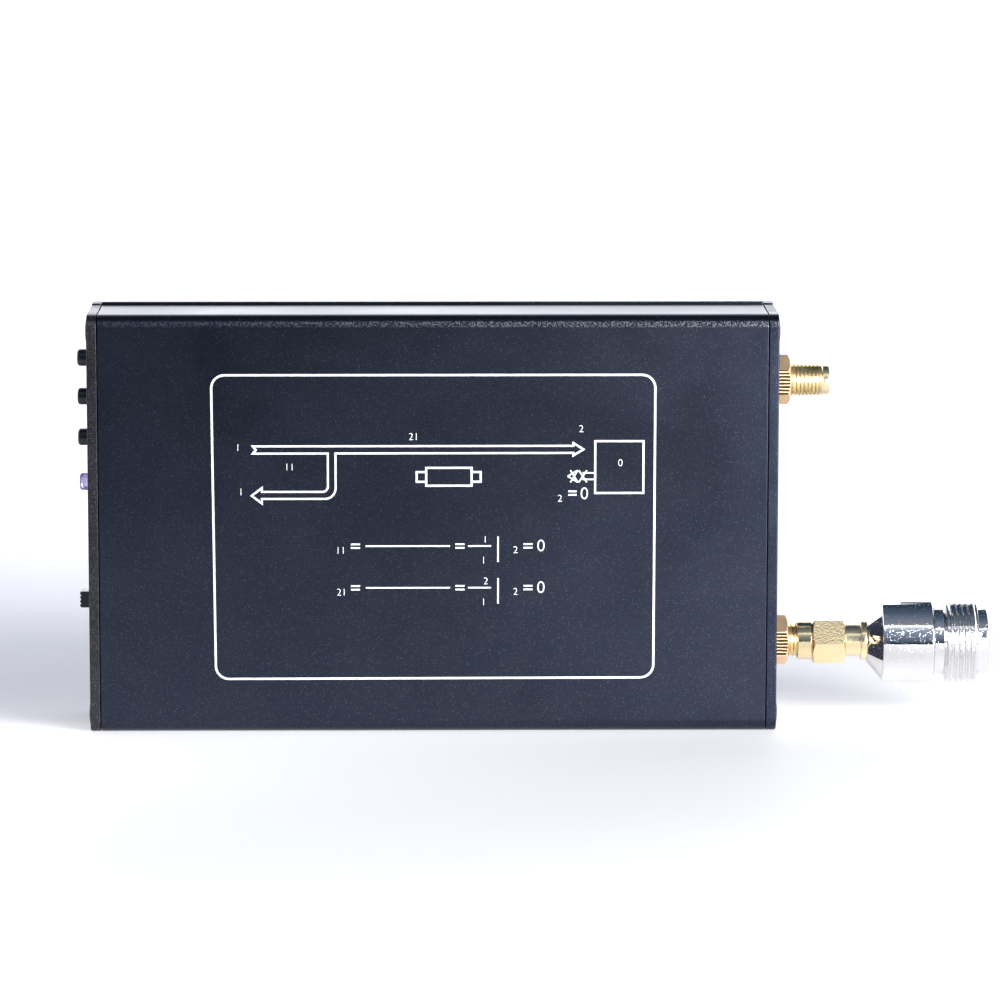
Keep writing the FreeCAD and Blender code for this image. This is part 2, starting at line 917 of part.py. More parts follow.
def make_display_ribbon():
    """The flat flex that leaves the display's lower edge and folds behind its carrier."""
    body = new_body("display_ribbon")
    display_low = middle_level - display_height / 2
    low = display_low - S.ribbon_drop
    outer_y = display_rear + S.display_thickness / 3
    sketch = new_sketch(body, "YZ_Plane")
    thin = S.ribbon_thickness
    draw_polygon(
        sketch,
        [
            (outer_y, display_low),
            (outer_y, low),
            (carrier_rear - thin, low),
            (carrier_rear - thin, display_low + S.ribbon_lap),
            (carrier_rear, display_low + S.ribbon_lap),
            (carrier_rear, low + thin),
            (outer_y - thin, low + thin),
            (outer_y - thin, display_low),
        ],
    )
    pad(body, sketch, S.ribbon_width, symmetric=True)


# Main board and what is soldered to it


def make_main_board():
    edge_gap = S.wall + S.board_side_gap
    board = block(
        "main_board", (board_left, board_right), (board_rear, board_front), (edge_gap, top - edge_gap)
    )
    keep(board, "main_board")


def shield_can(name, x, z):
    """A pressed sheet-metal lid, open towards the board."""
    wall = S.can_wall
    outside = block(name + "_outside", x, (board_rear - S.can_height, board_rear), z)
    inside = block(
        name + "_inside",
        (x[0] + wall, x[1] - wall),
        (board_rear - S.can_height + wall, board_rear),
        (z[0] + wall, z[1] - wall),
    )
    keep(cut(name, outside, [inside]), name)


def make_board_parts():
    right = board_right - S.port_can_setback
    left = right - S.port_can_width
    for which, level in port_levels.items():
        name = "shield_can_" + which
        shield_can(name, (left, right), centred_on(level, S.port_can_height))
    mixer_right = left - S.mixer_can_gap
    mixer_x = (mixer_right - S.mixer_can_width, mixer_right)
    shield_can("shield_can_mixer", mixer_x, centred_on(middle_level, S.mixer_can_height))
    crystal_right = mixer_x[0] - S.crystal_gap
    crystal_left = crystal_right - S.crystal_width
    chip_right = crystal_left - S.chip_gap
    chip = block(
        "processor_chip",
        (chip_right - S.chip_width, chip_right),
        (board_rear - S.chip_thickness, board_rear),
        centred_on(middle_level, S.chip_width),
    )
    keep(chip, "processor_chip")
    crystal = block(
        "crystal_can",
        (crystal_left, crystal_right),
        (board_rear - S.crystal_thickness, board_rear),
        centred_on(middle_level, S.crystal_height),
    )
    keep(crystal, "crystal_can")


# Battery


def make_battery():
    pad_front = back_inside + S.battery_pad_thickness
    margin = S.battery_pad_margin
    cell_x = (S.battery_inset_left - half_length, half_length - S.battery_inset_right)
    cell_z = (ZERO + S.battery_inset_z, top - S.battery_inset_z)
    pad_x = (cell_x[0] + margin, cell_x[1] - margin)
    pad_z = (cell_z[0] + margin, cell_z[1] - margin)
    keep(block("battery_pad", pad_x, (back_inside, pad_front), pad_z), "battery_pad")
    cell_front = pad_front + S.battery_thickness
    keep(block("battery_cell", cell_x, (pad_front, cell_front), cell_z), "battery_cell")
    socket_left = board_left + S.battery_socket_left
    socket_x = (socket_left, socket_left + S.battery_socket_width)
    socket_rear = board_rear - S.battery_socket_depth
    level = S.battery_socket_level
    socket_z = (level, level + S.battery_socket_height)
    socket = block("battery_socket", socket_x, (socket_rear, board_rear), socket_z)
    keep(socket, "battery_socket")
    margin = S.battery_plug_margin
    plug = block(
        "battery_plug",
        (socket_x[0] + margin, socket_x[1] - margin),
        (socket_rear - S.battery_plug_depth, socket_rear),
        (socket_z[0] + margin, socket_z[1] - margin),
    )
    keep(plug, "battery_plug")
    plug_middle = (socket_x[0] + socket_x[1]) / 2
    exit_level = middle_level - S.lead_drop
    make_battery_leads(cell_x[0], exit_level, plug_middle, socket_rear, socket_z[1] - margin)


def make_battery_leads(cell_left, exit_level, plug_middle, socket_rear, plug_top):
    """Two insulated leads that leave the cell sideways and turn down into the plug."""
    y = (socket_rear - S.battery_plug_depth / 2).number
    bend = S.lead_bend_radius.number
    leads = []
    for side in (-1, 1):
        x = (plug_middle - side * S.lead_pitch / 2).number
        z = (exit_level + side * S.lead_pitch / 2).number
        start = Vector(cell_left.number, y, z)
        bend_start = Vector(x + bend, y, z)
        bend_end = Vector(x, y, z - bend)
        slant = bend * (1 - math.sqrt(0.5))
        bend_middle = Vector(x + slant, y, z - slant)
        end = Vector(x, y, plug_top.number)
        path = Part.Wire(
            [
                Part.makeLine(start, bend_start),
                Part.Arc(bend_start, bend_middle, bend_end).toShape(),
                Part.makeLine(bend_end, end),
            ]
        )
        ring = Part.makeCircle(S.lead_radius.number, start, Vector(-1, 0, 0))
        section = Part.Wire([ring])
        leads.append(path.makePipeShell([section], True, False))
    holder = doc.addObject("Part::Feature", "battery_leads")
    holder.Shape = Part.makeCompound(leads)
    keep(holder, "battery_leads")


# Controls on the left end


def push_button(which, level):
    """A side-acting key switch: housing on the board, plunger through the end plate."""
    face = -shell_half + S.board_left_gap
    wall_back = face + S.switch_front_wall
    flange_front = wall_back + S.slide_clearance
    flange_back = flange_front + S.button_flange_thickness
    chamber_back = flange_back + S.button_travel + S.slide_clearance + S.dome_thickness
    housing = block(
        "button_%s_block" % which,
        (face, face + S.switch_body_length),
        (board_rear - S.switch_body_depth, board_rear),
        centred_on(level, S.switch_body_height),
    )
    mouth_radius = S.button_radius + S.slide_clearance
    chamber_radius = S.button_flange_radius + S.slide_clearance
    mouth = rod("button_%s_mouth" % which, mouth_radius, (face, wall_back), button_y, level)
    chamber_span = (wall_back, chamber_back)
    chamber = rod("button_%s_chamber" % which, chamber_radius, chamber_span, button_y, level)
    name = "button_%s_housing" % which
    keep(cut(name, housing, [mouth, chamber]), name)
    tip = -half_length - S.button_proud
    crown = tip + S.button_end_radius
    shoulder = S.button_radius - S.button_end_radius
    turned = turned_body(
        "button_%s_plunger" % which,
        [
            (tip, ZERO),
            (tip, shoulder),
            (crown, S.button_radius),
            (flange_front, S.button_radius),
            (flange_front, S.button_flange_radius),
            (flange_back, S.button_flange_radius),
            (flange_back, ZERO),
        ],
    )
    place(turned, ZERO, button_y, level)
    dome_span = (chamber_back - S.dome_thickness, chamber_back)
    return rod("dome_" + which, S.button_radius, dome_span, button_y, level)


def make_buttons():
    domes = []
    for which, level in button_levels.items():
        domes.append(push_button(which, level))
    keep(group("button_domes", domes), "button_domes")


def make_indicator():
    """A small clear lens with a flange behind the end plate, on two legs."""
    flange_back = -shell_half + S.led_flange_thickness
    tip = -half_length - S.led_proud
    lens = turned_body(
        "indicator_lens",
        [
            (tip, ZERO),
            (tip, S.led_radius - S.led_end_radius),
            (tip + S.led_end_radius, S.led_radius),
            (-shell_half, S.led_radius),
            (-shell_half, S.led_flange_radius),
            (flange_back, S.led_flange_radius),
            (flange_back, ZERO),
        ],
    )
    place(lens, ZERO, led_y, led_level)
    thick = S.led_leg_width
    knee = flange_back + S.led_leg_reach
    legs = []
    for number, side in enumerate((-1, 1)):
        z = led_level + side * S.led_leg_spacing / 2 * 0.9
        z_span = centred_on(z, thick)
        name = "indicator_leg_%d" % number
        out = block(name + "_out", (flange_back, knee), centred_on(led_y, thick), z_span)
        turned = block(name + "_down", (knee - thick, knee), (led_y - thick / 2, board_rear), z_span)
        legs.append(join(name, [out, turned]))
    keep(group("indicator_legs", legs), "indicator_legs")


def make_charging_socket():
    """A flat charging socket with round ends: a metal shell and the tongue inside it."""
    mouth = -half_length + S.charge_recess
    end_radius = S.charge_thickness / 2
    half_straight = S.charge_width / 2 - end_radius
    shell = new_body("charging_shell")
    outline = new_sketch(shell, "YZ_Plane", mouth)
    draw_stadium(outline, (charge_y, charge_level), half_straight, end_radius)
    pad(shell, outline, S.charge_length)
    hollow = new_sketch(shell, "YZ_Plane", mouth)
    draw_stadium(
        hollow, (charge_y, charge_level), half_straight, end_radius - S.charge_wall
    )
    pocket(shell, hollow, S.charge_length - S.charge_floor, "hollow", reverse=True)
    tongue = block(
        "charging_tongue",
        (mouth + S.charge_tongue_setback, mouth + S.charge_length - S.charge_floor),
        centred_on(charge_y, S.charge_tongue_thickness),
        centred_on(charge_level, S.charge_tongue_width),
    )
    keep(tongue, "charging_tongue")


def make_power_switch():
    """A slide switch: housing on the board and a ridged knob that moves along Z."""
    face = -shell_half + S.board_left_gap
    shoe_front = face + S.power_front_wall + S.slide_clearance
    shoe_back = shoe_front + S.power_shoe_length
    half_shoe = S.power_shoe_height / 2
    chamber_low = power_level - half_shoe - S.slide_clearance
    chamber_high = power_level + S.power_travel + half_shoe + S.slide_clearance
    housing = block(
        "power_switch_block",
        (face, face + S.power_body_length),
        (board_rear - S.power_body_depth, board_rear),
        (chamber_low - S.power_end_wall, chamber_high + S.power_end_wall),
    )
    half_knob_y = S.power_knob_depth / 2
    half_knob_z = S.power_knob_height / 2
    gap = S.slide_clearance
    slot = block(
        "power_switch_slot",
        (face, shoe_front),
        (power_y - half_knob_y - gap, power_y + half_knob_y + gap),
        (power_level - half_knob_z - gap, power_level + S.power_travel + half_knob_z + gap),
    )
    chamber = block(
        "power_switch_chamber",
        (shoe_front - gap, shoe_back + gap),
        (power_y - half_knob_y - gap, power_y + half_knob_y + gap),
        (chamber_low, chamber_high),
    )
    keep(cut("power_switch_housing", housing, [slot, chamber]), "power_switch_housing")
    knob = new_body("power_switch_knob")
    tip = -half_length - S.power_knob_proud
    groove = S.power_knob_groove
    ridge = S.power_knob_height / 8
    points = [
        (shoe_back, power_level - half_shoe),
        (shoe_back, power_level + half_shoe),
        (shoe_front, power_level + half_shoe),
        (shoe_front, power_level + half_knob_z),
    ]
    for step in range(8, -1, -1):
        inward = groove if step % 2 == 0 else ZERO
        points.append((tip + inward, power_level - half_knob_z + ridge * step))
    points.append((shoe_front, power_level - half_knob_z))
    points.append((shoe_front, power_level - half_shoe))
    outline = new_sketch(knob, "XZ_Plane", -power_y)
    draw_polygon(outline, points)
    pad(knob, outline, S.power_knob_depth, symmetric=True)


# Coaxial ports. Each is modelled about its own X axis, with x = 0 on the plate's outer face.


def coaxial(body, which="lower"):
    """Moves a piece from its own axis to the port's axis at the plate's outer face."""
    place(body, half_length, port_y, port_levels[which])
    return body


plate_inner = -S.plate_thickness
nut_face = S.washer_thickness + S.panel_nut_length
block_rear = plate_inner - S.jack_block_length
jack_end = S.jack_reach
mating_plane = jack_end - S.jack_mouth_depth


def port_jack(which):
    """The threaded jack with its square base and the four legs that grip the board.

    The shank inside the plate, washer and nut is slimmer than the thread that stands free.
    """
    body = new_body("port_%s_jack" % which)
    barrel = new_sketch(body, "XY_Plane")
    collar_start = jack_end - S.jack_collar_length
    edge = (S.jack_collar_radius - S.jack_mouth_radius) / 3
    draw_polygon(
        barrel,
        [
            (plate_inner, S.jack_dielectric_radius),
            (plate_inner, S.jack_shank_radius),
            (nut_face, S.jack_shank_radius),
            (nut_face, S.jack_thread_radius),
            (collar_start, S.jack_thread_radius),
            (collar_start, S.jack_collar_radius),
            (jack_end - edge, S.jack_collar_radius),
            (jack_end, S.jack_collar_radius - edge),
            (jack_end, S.jack_mouth_radius),
            (mating_plane, S.jack_mouth_radius),
            (mating_plane, S.jack_dielectric_radius),
        ],
    )
    turn(body, barrel)
    base = new_sketch(body, "YZ_Plane", plate_inner)
    half = S.jack_block_width / 2
    draw_rectangle(base, (-half, -half), (half, half))
    draw_circle(base, (ZERO, ZERO), S.jack_dielectric_radius)
    pad(body, base, S.jack_block_length, "base", reverse=True)
    legs = new_sketch(body, "YZ_Plane", block_rear)
    board_half = S.board_thickness / 2
    for side_y in (-1, 1):
        near = side_y * board_half
        far = side_y * (board_half + S.jack_leg_thickness)
        low_y, high_y = (far, near) if side_y < 0 else (near, far)
        for low_z in (-half, half - S.jack_leg_width):
            draw_rectangle(legs, (low_y, low_z), (high_y, low_z + S.jack_leg_width))
    pad(body, legs, S.jack_leg_length, "legs", reverse=True)
    cut_thread(
        body,
        S.jack_thread_radius,
        nut_face,
        collar_start,
        S.jack_thread_pitch,
        S.thread_cut,
        S.thread_depth,
    )
    coaxial(body, which)


def port_inside(which):
    """The insulator and the sprung contact inside a jack."""
    insulator = turned_body(
        "port_%s_insulator" % which,
        [
            (block_rear, S.contact_tail_radius),
            (block_rear, S.jack_dielectric_radius),
            (mating_plane, S.jack_dielectric_radius),
            (mating_plane, S.contact_radius),
            (plate_inner, S.contact_radius),
            (plate_inner, S.contact_tail_radius),
        ],
    )
    coaxial(insulator, which)
    contact = turned_body(
        "port_%s_contact" % which,
        [
            (block_rear, ZERO),
            (block_rear, S.contact_tail_radius),
            (plate_inner, S.contact_tail_radius),
            (plate_inner, S.contact_radius),
            (mating_plane, S.contact_radius),
            (mating_plane, S.contact_bore_radius),
            (mating_plane - S.contact_bore_depth, S.contact_bore_radius),
            (mating_plane - S.contact_bore_depth, ZERO),
        ],
    )
    coaxial(contact, which)


def port_fixings(which):
    """The washer and the hexagon nut that clamp a jack to the end plate."""
    bore = S.jack_shank_radius + S.panel_nut_clearance
    washer_end = S.washer_thickness
    washer = turned_body(
        "port_%s_washer" % which,
        [
            (ZERO, bore),
            (ZERO, S.washer_radius),
            (washer_end, S.washer_radius),
            (washer_end, bore),
        ],
    )
    coaxial(washer, which)
    nut = new_body("port_%s_nut" % which)
    outline = new_sketch(nut, "YZ_Plane", washer_end)
    draw_hexagon(outline, S.panel_nut_width, corner_up=True)
    draw_circle(outline, (ZERO, ZERO), bore)
    pad(nut, outline, S.panel_nut_length)
    chamfer_hexagon(nut, S.panel_nut_width, nut_face, S.hex_chamfer, 1)
    coaxial(nut, which)


# Adapter on the lower port, measured from the same plane as the port itself

nut_start = jack_end - S.coupling_engagement
hex_start = nut_start + S.coupling_collar_length
nut_end = hex_start + S.coupling_hex_length
plug_seat = jack_end + S.plug_gasket_thickness
shoulder_end = plug_seat + S.plug_shoulder_length
ring_start = shoulder_end + S.ring_land_gap
ring_end = ring_start + S.ring_width
neck_start = nut_end + S.plug_neck_gap
neck_end = neck_start + S.plug_neck_length
flange_end = neck_end + S.plug_flange_length
cone_end = flange_end + S.barrel_cone_length
round_end = cone_end + S.barrel_flat_length + S.barrel_round_length
relief_end = round_end + S.barrel_neck_length
socket_thread_start = relief_end + S.barrel_bevel_length
socket_thread_end = socket_thread_start + S.socket_thread_length
socket_end = socket_thread_end + S.pilot_length
socket_plane = socket_end - S.socket_bore_depth
contact_joint = flange_end + S.socket_floor


def make_coupling_nut():
    """Round collar and hexagon over the jack's thread, with a land that pulls on the plug."""
    body = new_body("adapter_coupling_nut")
    hexagon = new_sketch(body, "YZ_Plane", hex_start)
    draw_hexagon(hexagon, S.coupling_hex_width, corner_up=False)
    pad(body, hexagon, S.coupling_hex_length)
    chamfer_hexagon(body, S.coupling_hex_width, hex_start, S.hex_chamfer, -1)
    chamfer_hexagon(body, S.coupling_hex_width, nut_end, S.hex_chamfer, 1)
    collar = new_sketch(body, "YZ_Plane", nut_start)
    draw_circle(collar, (ZERO, ZERO), S.coupling_collar_radius)
    pad(body, collar, S.coupling_collar_length, "collar")
    bore = S.jack_thread_radius + S.coupling_bore_clearance
    land = S.plug_shank_radius + S.coupling_ring_gap
    land_start = shoulder_end + S.coupling_land_gap
    groove_radius = S.plug_shank_radius + S.ring_depth
    gap = S.coupling_ring_gap
    inside = new_sketch(body, "XY_Plane")
    draw_polygon(
        inside,
        [
            (nut_start - 1, ZERO),
            (nut_start - 1, bore),
            (land_start, bore),
            (land_start, land),
            (ring_start - gap, land),
            (ring_start - gap, groove_radius),
            (ring_end + gap, groove_radius),
            (ring_end + gap, land),
            (nut_end + 1, land),
            (nut_end + 1, ZERO),
        ],
    )
    turn(body, inside, "Groove", "inside")
    coaxial(body)


def make_plug():
    """The plug's outer conductor, its seal, retaining ring, insulator and pin."""
    groove_radius = S.plug_shank_radius - S.ring_depth
    body = turned_body(
        "adapter_plug_body",
        [
            (mating_plane, S.jack_dielectric_radius),
            (mating_plane, S.plug_tube_radius),
            (plug_seat, S.plug_tube_radius),
            (plug_seat, S.plug_shoulder_radius),
            (shoulder_end, S.plug_shoulder_radius),
            (shoulder_end, S.plug_shank_radius),
            (ring_start, S.plug_shank_radius),
            (ring_start, groove_radius + S.seat_gap),
            (ring_end, groove_radius + S.seat_gap),
            (ring_end, S.plug_shank_radius),
            (neck_start, S.plug_shank_radius),
            (neck_start, S.plug_neck_radius),
            (neck_end, S.plug_neck_radius),
            (neck_end, S.plug_flange_radius),
            (flange_end, S.plug_flange_radius),
            (flange_end, S.jack_dielectric_radius),
        ],
    )
    coaxial(body)
    seal = turned_body(
        "adapter_seal_ring",
        [
            (jack_end, S.plug_tube_radius + S.seat_gap),
            (jack_end, S.plug_gasket_radius),
            (plug_seat, S.plug_gasket_radius),
            (plug_seat, S.plug_tube_radius + S.seat_gap),
        ],
    )
    coaxial(seal)
    slack = S.seat_gap
    ring = turned_body(
        "adapter_retaining_ring",
        [
            (ring_start + slack, groove_radius + slack),
            (ring_start + slack, S.plug_shank_radius + S.ring_depth - slack),
            (ring_end - slack, S.plug_shank_radius + S.ring_depth - slack),
            (ring_end - slack, groove_radius + slack),
        ],
    )
    coaxial(ring)
    insulator = turned_body(
        "adapter_plug_insulator",
        [
            (mating_plane, S.pin_radius),
            (mating_plane, S.jack_dielectric_radius),
            (flange_end, S.jack_dielectric_radius),
            (flange_end, S.pin_radius),
        ],
    )
    coaxial(insulator)
    tip = mating_plane - S.pin_reach
    pin = turned_body(
        "adapter_plug_pin",
        [
            (tip, ZERO),
            (tip, S.pin_radius / 2),
            (tip + S.pin_radius, S.pin_radius),
            (contact_joint, S.pin_radius),
            (contact_joint, ZERO),
        ],
    )
    coaxial(pin)


def make_socket():
    """The large threaded socket: plated barrel, insulator and slotted contact."""
    barrel = turned_body(
        "adapter_barrel",
        [
            (flange_end, S.pin_radius + 1),
            (flange_end, S.barrel_mouth_radius),
            (cone_end, S.barrel_cone_radius),
            (cone_end, S.barrel_radius),
            (round_end - S.barrel_edge, S.barrel_radius),
            (round_end, S.barrel_radius - S.barrel_edge),
            (round_end, S.barrel_neck_radius),
            (relief_end, S.barrel_neck_radius),
            (socket_thread_start, S.socket_thread_radius),
            (socket_thread_end, S.socket_thread_radius),
            (socket_thread_end, S.pilot_radius),
            (socket_end - S.pilot_edge, S.pilot_radius),
            (socket_end, S.pilot_radius - S.pilot_edge),
            (socket_end, S.socket_bore_radius),
            (socket_plane, S.socket_bore_radius),
            (socket_plane, S.socket_insulator_radius),
            (contact_joint, S.socket_insulator_radius),
            (contact_joint, S.pin_radius + 1),
        ],
    )
    flats = new_sketch(barrel, "YZ_Plane", cone_end)
    half_flat = S.barrel_flat_width / 2
    outside = S.barrel_radius + 1
    draw_rectangle(flats, (-outside, half_flat), (outside, outside))
    draw_rectangle(flats, (-outside, -outside), (outside, -half_flat))
    pocket(barrel, flats, S.barrel_flat_length, "flats", reverse=True)
    cut_thread(
        barrel,
        S.socket_thread_radius,
        socket_thread_start,
        socket_thread_end,
        S.socket_thread_pitch,
        S.socket_thread_cut,
        S.socket_thread_depth,
    )
    coaxial(barrel)
    insulator = turned_body(
        "adapter_socket_insulator",
        [
            (contact_joint, S.socket_contact_radius),
            (contact_joint, S.socket_insulator_radius),
            (socket_plane, S.socket_insulator_radius),
            (socket_plane, S.socket_contact_radius),
        ],
    )
    coaxial(insulator)
    sleeve = turned_body(
        "adapter_pin_sleeve",
        [
            (flange_end, S.pin_radius),
            (flange_end, S.pin_radius + 1),
            (contact_joint, S.pin_radius + 1),
            (contact_joint, S.pin_radius),
        ],
    )
    coaxial(sleeve)
    contact_end = socket_plane + S.socket_contact_reach
    bore_start = contact_end - S.socket_contact_slit_length - S.socket_contact_bore
    contact = turned_body(
        "adapter_socket_contact",
        [
            (contact_joint, ZERO),
            (contact_joint, S.socket_contact_radius),
            (contact_end, S.socket_contact_radius),
            (contact_end, S.socket_contact_bore),
            (bore_start, S.socket_contact_bore),
            (bore_start, ZERO),
        ],
    )
    slits = new_sketch(contact, "YZ_Plane", contact_end)
    half_slit = S.socket_contact_slit / 2
    reach = S.socket_contact_radius * 1.2
    draw_polygon(
        slits,
        [
            (-half_slit, -reach),
            (half_slit, -reach),
            (half_slit, -half_slit),
            (reach, -half_slit),
            (reach, half_slit),
            (half_slit, half_slit),
            (half_slit, reach),
            (-half_slit, reach),
            (-half_slit, half_slit),
            (-reach, half_slit),
            (-reach, -half_slit),
            (-half_slit, -half_slit),
        ],
    )
    pocket(contact, slits, S.socket_contact_slit_length, "slits")
    coaxial(contact)


def check_and_export():
    doc.recompute()
    for thing in doc.Objects:
        if "Invalid" in thing.State or "Error" in thing.State:
            raise RuntimeError("%s did not compute: %s" % (thing.Name, thing.State))
    for thing in SUB_PARTS:
        if thing.Shape.isNull() or not thing.Shape.isValid() or not thing.Shape.Solids:
            raise RuntimeError("%s has no valid solid" % thing.Label)
    os.makedirs("parts", exist_ok=True)
    for thing in SUB_PARTS:
        thing.Shape.exportStep("parts/%s.step" % thing.Label)
        solids = thing.Shape.Solids
        volume = sum(solid.Volume for solid in solids)
        print("%-26s %d solid(s) %10.2f mm3" % (thing.Label, len(solids), volume))
    print("%d sub-parts written" % len(SUB_PARTS))


make_rear_shell()
make_front_shell()
make_left_end_plate()
make_right_end_plate()
make_plate_screws()
make_display()
make_display_ribbon()
make_main_board()
make_board_parts()
make_battery()
make_buttons()
make_indicator()
make_charging_socket()
make_power_switch()
for port in port_levels:
    port_jack(port)
    port_inside(port)
    port_fixings(port)
make_coupling_nut()
make_plug()
make_socket()
check_and_export()
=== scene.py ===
# %% [markdown]
# # A pocket antenna analyzer on its long side
#
# The object is a flat metal box, 125 mm long, with two threaded ports on its right end and a
# heavy plated adapter on the lower one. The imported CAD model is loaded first. It says where every
# part is, so no piece below has to be fitted by eye: each one is modelled at its real place.

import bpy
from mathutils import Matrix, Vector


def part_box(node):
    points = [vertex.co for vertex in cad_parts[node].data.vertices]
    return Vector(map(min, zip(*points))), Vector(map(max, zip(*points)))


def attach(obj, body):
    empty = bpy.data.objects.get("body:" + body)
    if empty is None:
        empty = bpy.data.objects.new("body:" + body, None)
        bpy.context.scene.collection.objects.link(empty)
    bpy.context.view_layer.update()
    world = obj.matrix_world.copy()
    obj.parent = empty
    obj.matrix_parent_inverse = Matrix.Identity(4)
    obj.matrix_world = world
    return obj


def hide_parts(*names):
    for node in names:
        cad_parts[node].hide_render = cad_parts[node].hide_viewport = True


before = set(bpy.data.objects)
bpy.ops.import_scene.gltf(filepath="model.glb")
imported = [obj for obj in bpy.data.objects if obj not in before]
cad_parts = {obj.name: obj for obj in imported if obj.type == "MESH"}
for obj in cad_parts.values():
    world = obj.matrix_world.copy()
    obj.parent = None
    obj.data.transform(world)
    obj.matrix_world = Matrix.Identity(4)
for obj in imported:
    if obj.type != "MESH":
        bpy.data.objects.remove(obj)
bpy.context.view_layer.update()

# %% [markdown]
# Drawings of such a box are in millimetres and Blender works in metres. All the lengths below are
# millimetres, and the few helpers that call Blender multiply them by MM.

# %% Names and units
from contextlib import contextmanager
from math import cos, pi, radians, sin, sqrt, tan

import bmesh
import bpy
from mathutils import Matrix, Vector

MM = 0.001
PORT_Y, PORT_LEVELS = 3.0, {"lower": 14.4, "upper": 62.9}
LOWER = (PORT_Y, PORT_LEVELS["lower"])


def metres(point):
    """A point in millimetres as a Blender vector in metres."""
    return Vector(point) * MM


# %% [markdown]
# ## The camera
#
# A long lens from 0.9 m away, a little above the box, keeps its edges almost parallel. The camera
# could be aimed with a constraint, but a matrix of three turns says exactly how it stands: turned
# about the vertical, tipped down, then levelled.

# %% Camera
PICTURE_SIDE, FOCAL_PIXELS = 1000, 4989.14
CAMERA_PLACE = (-2.402, -903.835, 182.430)
YAW, PITCH, ROLL = 0.9286, 8.8875, 0.0565

camera_data = bpy.data.cameras.new("studio_camera")
camera_data.lens = FOCAL_PIXELS * camera_data.sensor_width / PICTURE_SIDE
camera = bpy.data.objects.new("studio_camera", camera_data)
bpy.context.scene.collection.objects.link(camera)
camera.matrix_world = Matrix.Translation(metres(CAMERA_PLACE))
for turn, axis in ((-YAW, "Z"), (90 - PITCH, "X"), (ROLL, "Z")):
    camera.matrix_world = camera.matrix_world @ Matrix.Rotation(radians(turn), 4, axis)
bpy.context.scene.camera = camera
bpy.context.scene.view_settings.view_transform = "Standard"
print("lens: %.1f mm" % camera_data.lens)

# %% [markdown]
# ## The table and the light
#
# A dark metal box shows its surroundings more than its own colour, so the studio matters. The sky
# is a world shader by direction: a softbox across the front, a dim ceiling, and a bright wall
# behind. It could be built from many planes, but one gradient on the angle round the X axis says
# the same. The table is pale and ends a little in front of the box. To the camera the world is
# plain white and the table adds a glow of its own, so that it is nearly white too and still takes
# the shadow. The glow changes with depth and is weaker at the front right, where the lamps shine.
# It is raised just in front of the box, painted light over the box's own shade there, and lowered
# behind the box, which paints its shadow darker.
# The node helpers work in the tree that is open, and a value can be a number or another output.


# %% Nodes
tree = None


def fill(socket, value):
    """Links an output to a socket, or sets the socket to a plain value."""
    if isinstance(value, bpy.types.NodeSocket):
        tree.links.new(value, socket)
    else:
        socket.default_value = (*value, 1) if socket.type == "RGBA" else value


def set_up(node, settings):
    """Fills the inputs that settings name; the other settings are the node's own."""
    for name, value in settings.items():
        socket = node.inputs.get(name.replace("_", " "))
        if socket is None:
            setattr(node, name, value)
        else:
            fill(socket, value)


def new_node(kind, *values, **settings):
    """Adds a node, sets it up, and fills its first inputs with the values."""
    node = tree.nodes.new("ShaderNode" + kind)
    set_up(node, settings)
    for socket, value in zip(node.inputs, values):
        fill(socket, value)
    return node


def calculated(operation, *values):
    """A Math node's output."""
    return new_node("Math", *values, operation=operation).outputs[0]


def product(result, *factors):
    for factor in factors:
        result = calculated("MULTIPLY", result, factor)
    return result


def inverted(share):
    return calculated("SUBTRACT", 1.0, share)


def stepped(value, low, high, kind="SMOOTHSTEP"):
    """0 at low and 1 at high, with a smooth step between them."""
    return new_node("MapRange", value, low, high, interpolation_type=kind).outputs[0]


def separated(vector):
    return new_node("SeparateXYZ", vector).outputs


def object_place():
    return new_node("TexCoord").outputs["Object"]


def surface_normal():
    return new_node("NewGeometry").outputs["Normal"]


def ramp(factor, stops):
    """A colour ramp over (position, colour) stops."""
    node = new_node("ValToRGB", factor)
    elements = node.color_ramp.elements
    elements.remove(elements[1])
    elements[0].position = stops[0][0]
    for position, colour in stops[1:]:
        elements.new(position)
    for element, (position, colour) in zip(elements, stops):
        element.color = (*colour, 1)
    return node.outputs["Color"]


def open_material(material):
    """Makes a material's nodes the open tree."""
    global tree
    material.use_nodes = True
    tree = material.node_tree
    return material


def set_shader(**settings):
    """Fills inputs of the open material's shader."""
    set_up(tree.nodes["Principled BSDF"], settings)


# %% World
world = bpy.data.worlds.new("studio")
world.use_nodes = True
bpy.context.scene.world = world
tree = world.node_tree
tree.nodes.clear()
direction = separated(new_node("TexCoord").outputs["Generated"])
angle = calculated("ARCTAN2", direction["Z"], product(direction["Y"], -1))
HORIZON, SOFTBOX, WALL_LIGHT = (0.030, 0.042, 0.070), (1.5, 1.5, 1.5), (3.2, 3.25, 3.4)
SKY = [
    (0, HORIZON), (4, (0.10, 0.14, 0.20)), (15, (0.17, 0.21, 0.29)), (29, (0.27, 0.34, 0.45)),
    (36, (0.40, 0.48, 0.60)), (41, (0.62, 0.70, 0.80)), (44.5, SOFTBOX), (48, SOFTBOX),
    (49.5, (0.28, 0.30, 0.35)), (72, (0.15, 0.19, 0.27)), (90, (0.075, 0.11, 0.17)),
    (110, (0.035, 0.06, 0.10)), (131, (0.03, 0.05, 0.08)), (134, (1.6, 1.6, 1.65)),
    (156, (1.9, 1.92, 2.0)), (166, WALL_LIGHT), (180, WALL_LIGHT),
]
share = calculated("DIVIDE", angle, pi)
sky = ramp(share, [(degrees / 180, colour) for degrees, colour in SKY])
studio_light = new_node("Background", Color=sky, Strength=1.0).outputs[0]
white = new_node("Background", Color=(1, 1, 1), Strength=1.0).outputs[0]
seen = new_node("LightPath").outputs["Is Camera Ray"]
both = new_node("MixShader", seen, studio_light, white).outputs[0]
new_node("OutputWorld", Surface=both)

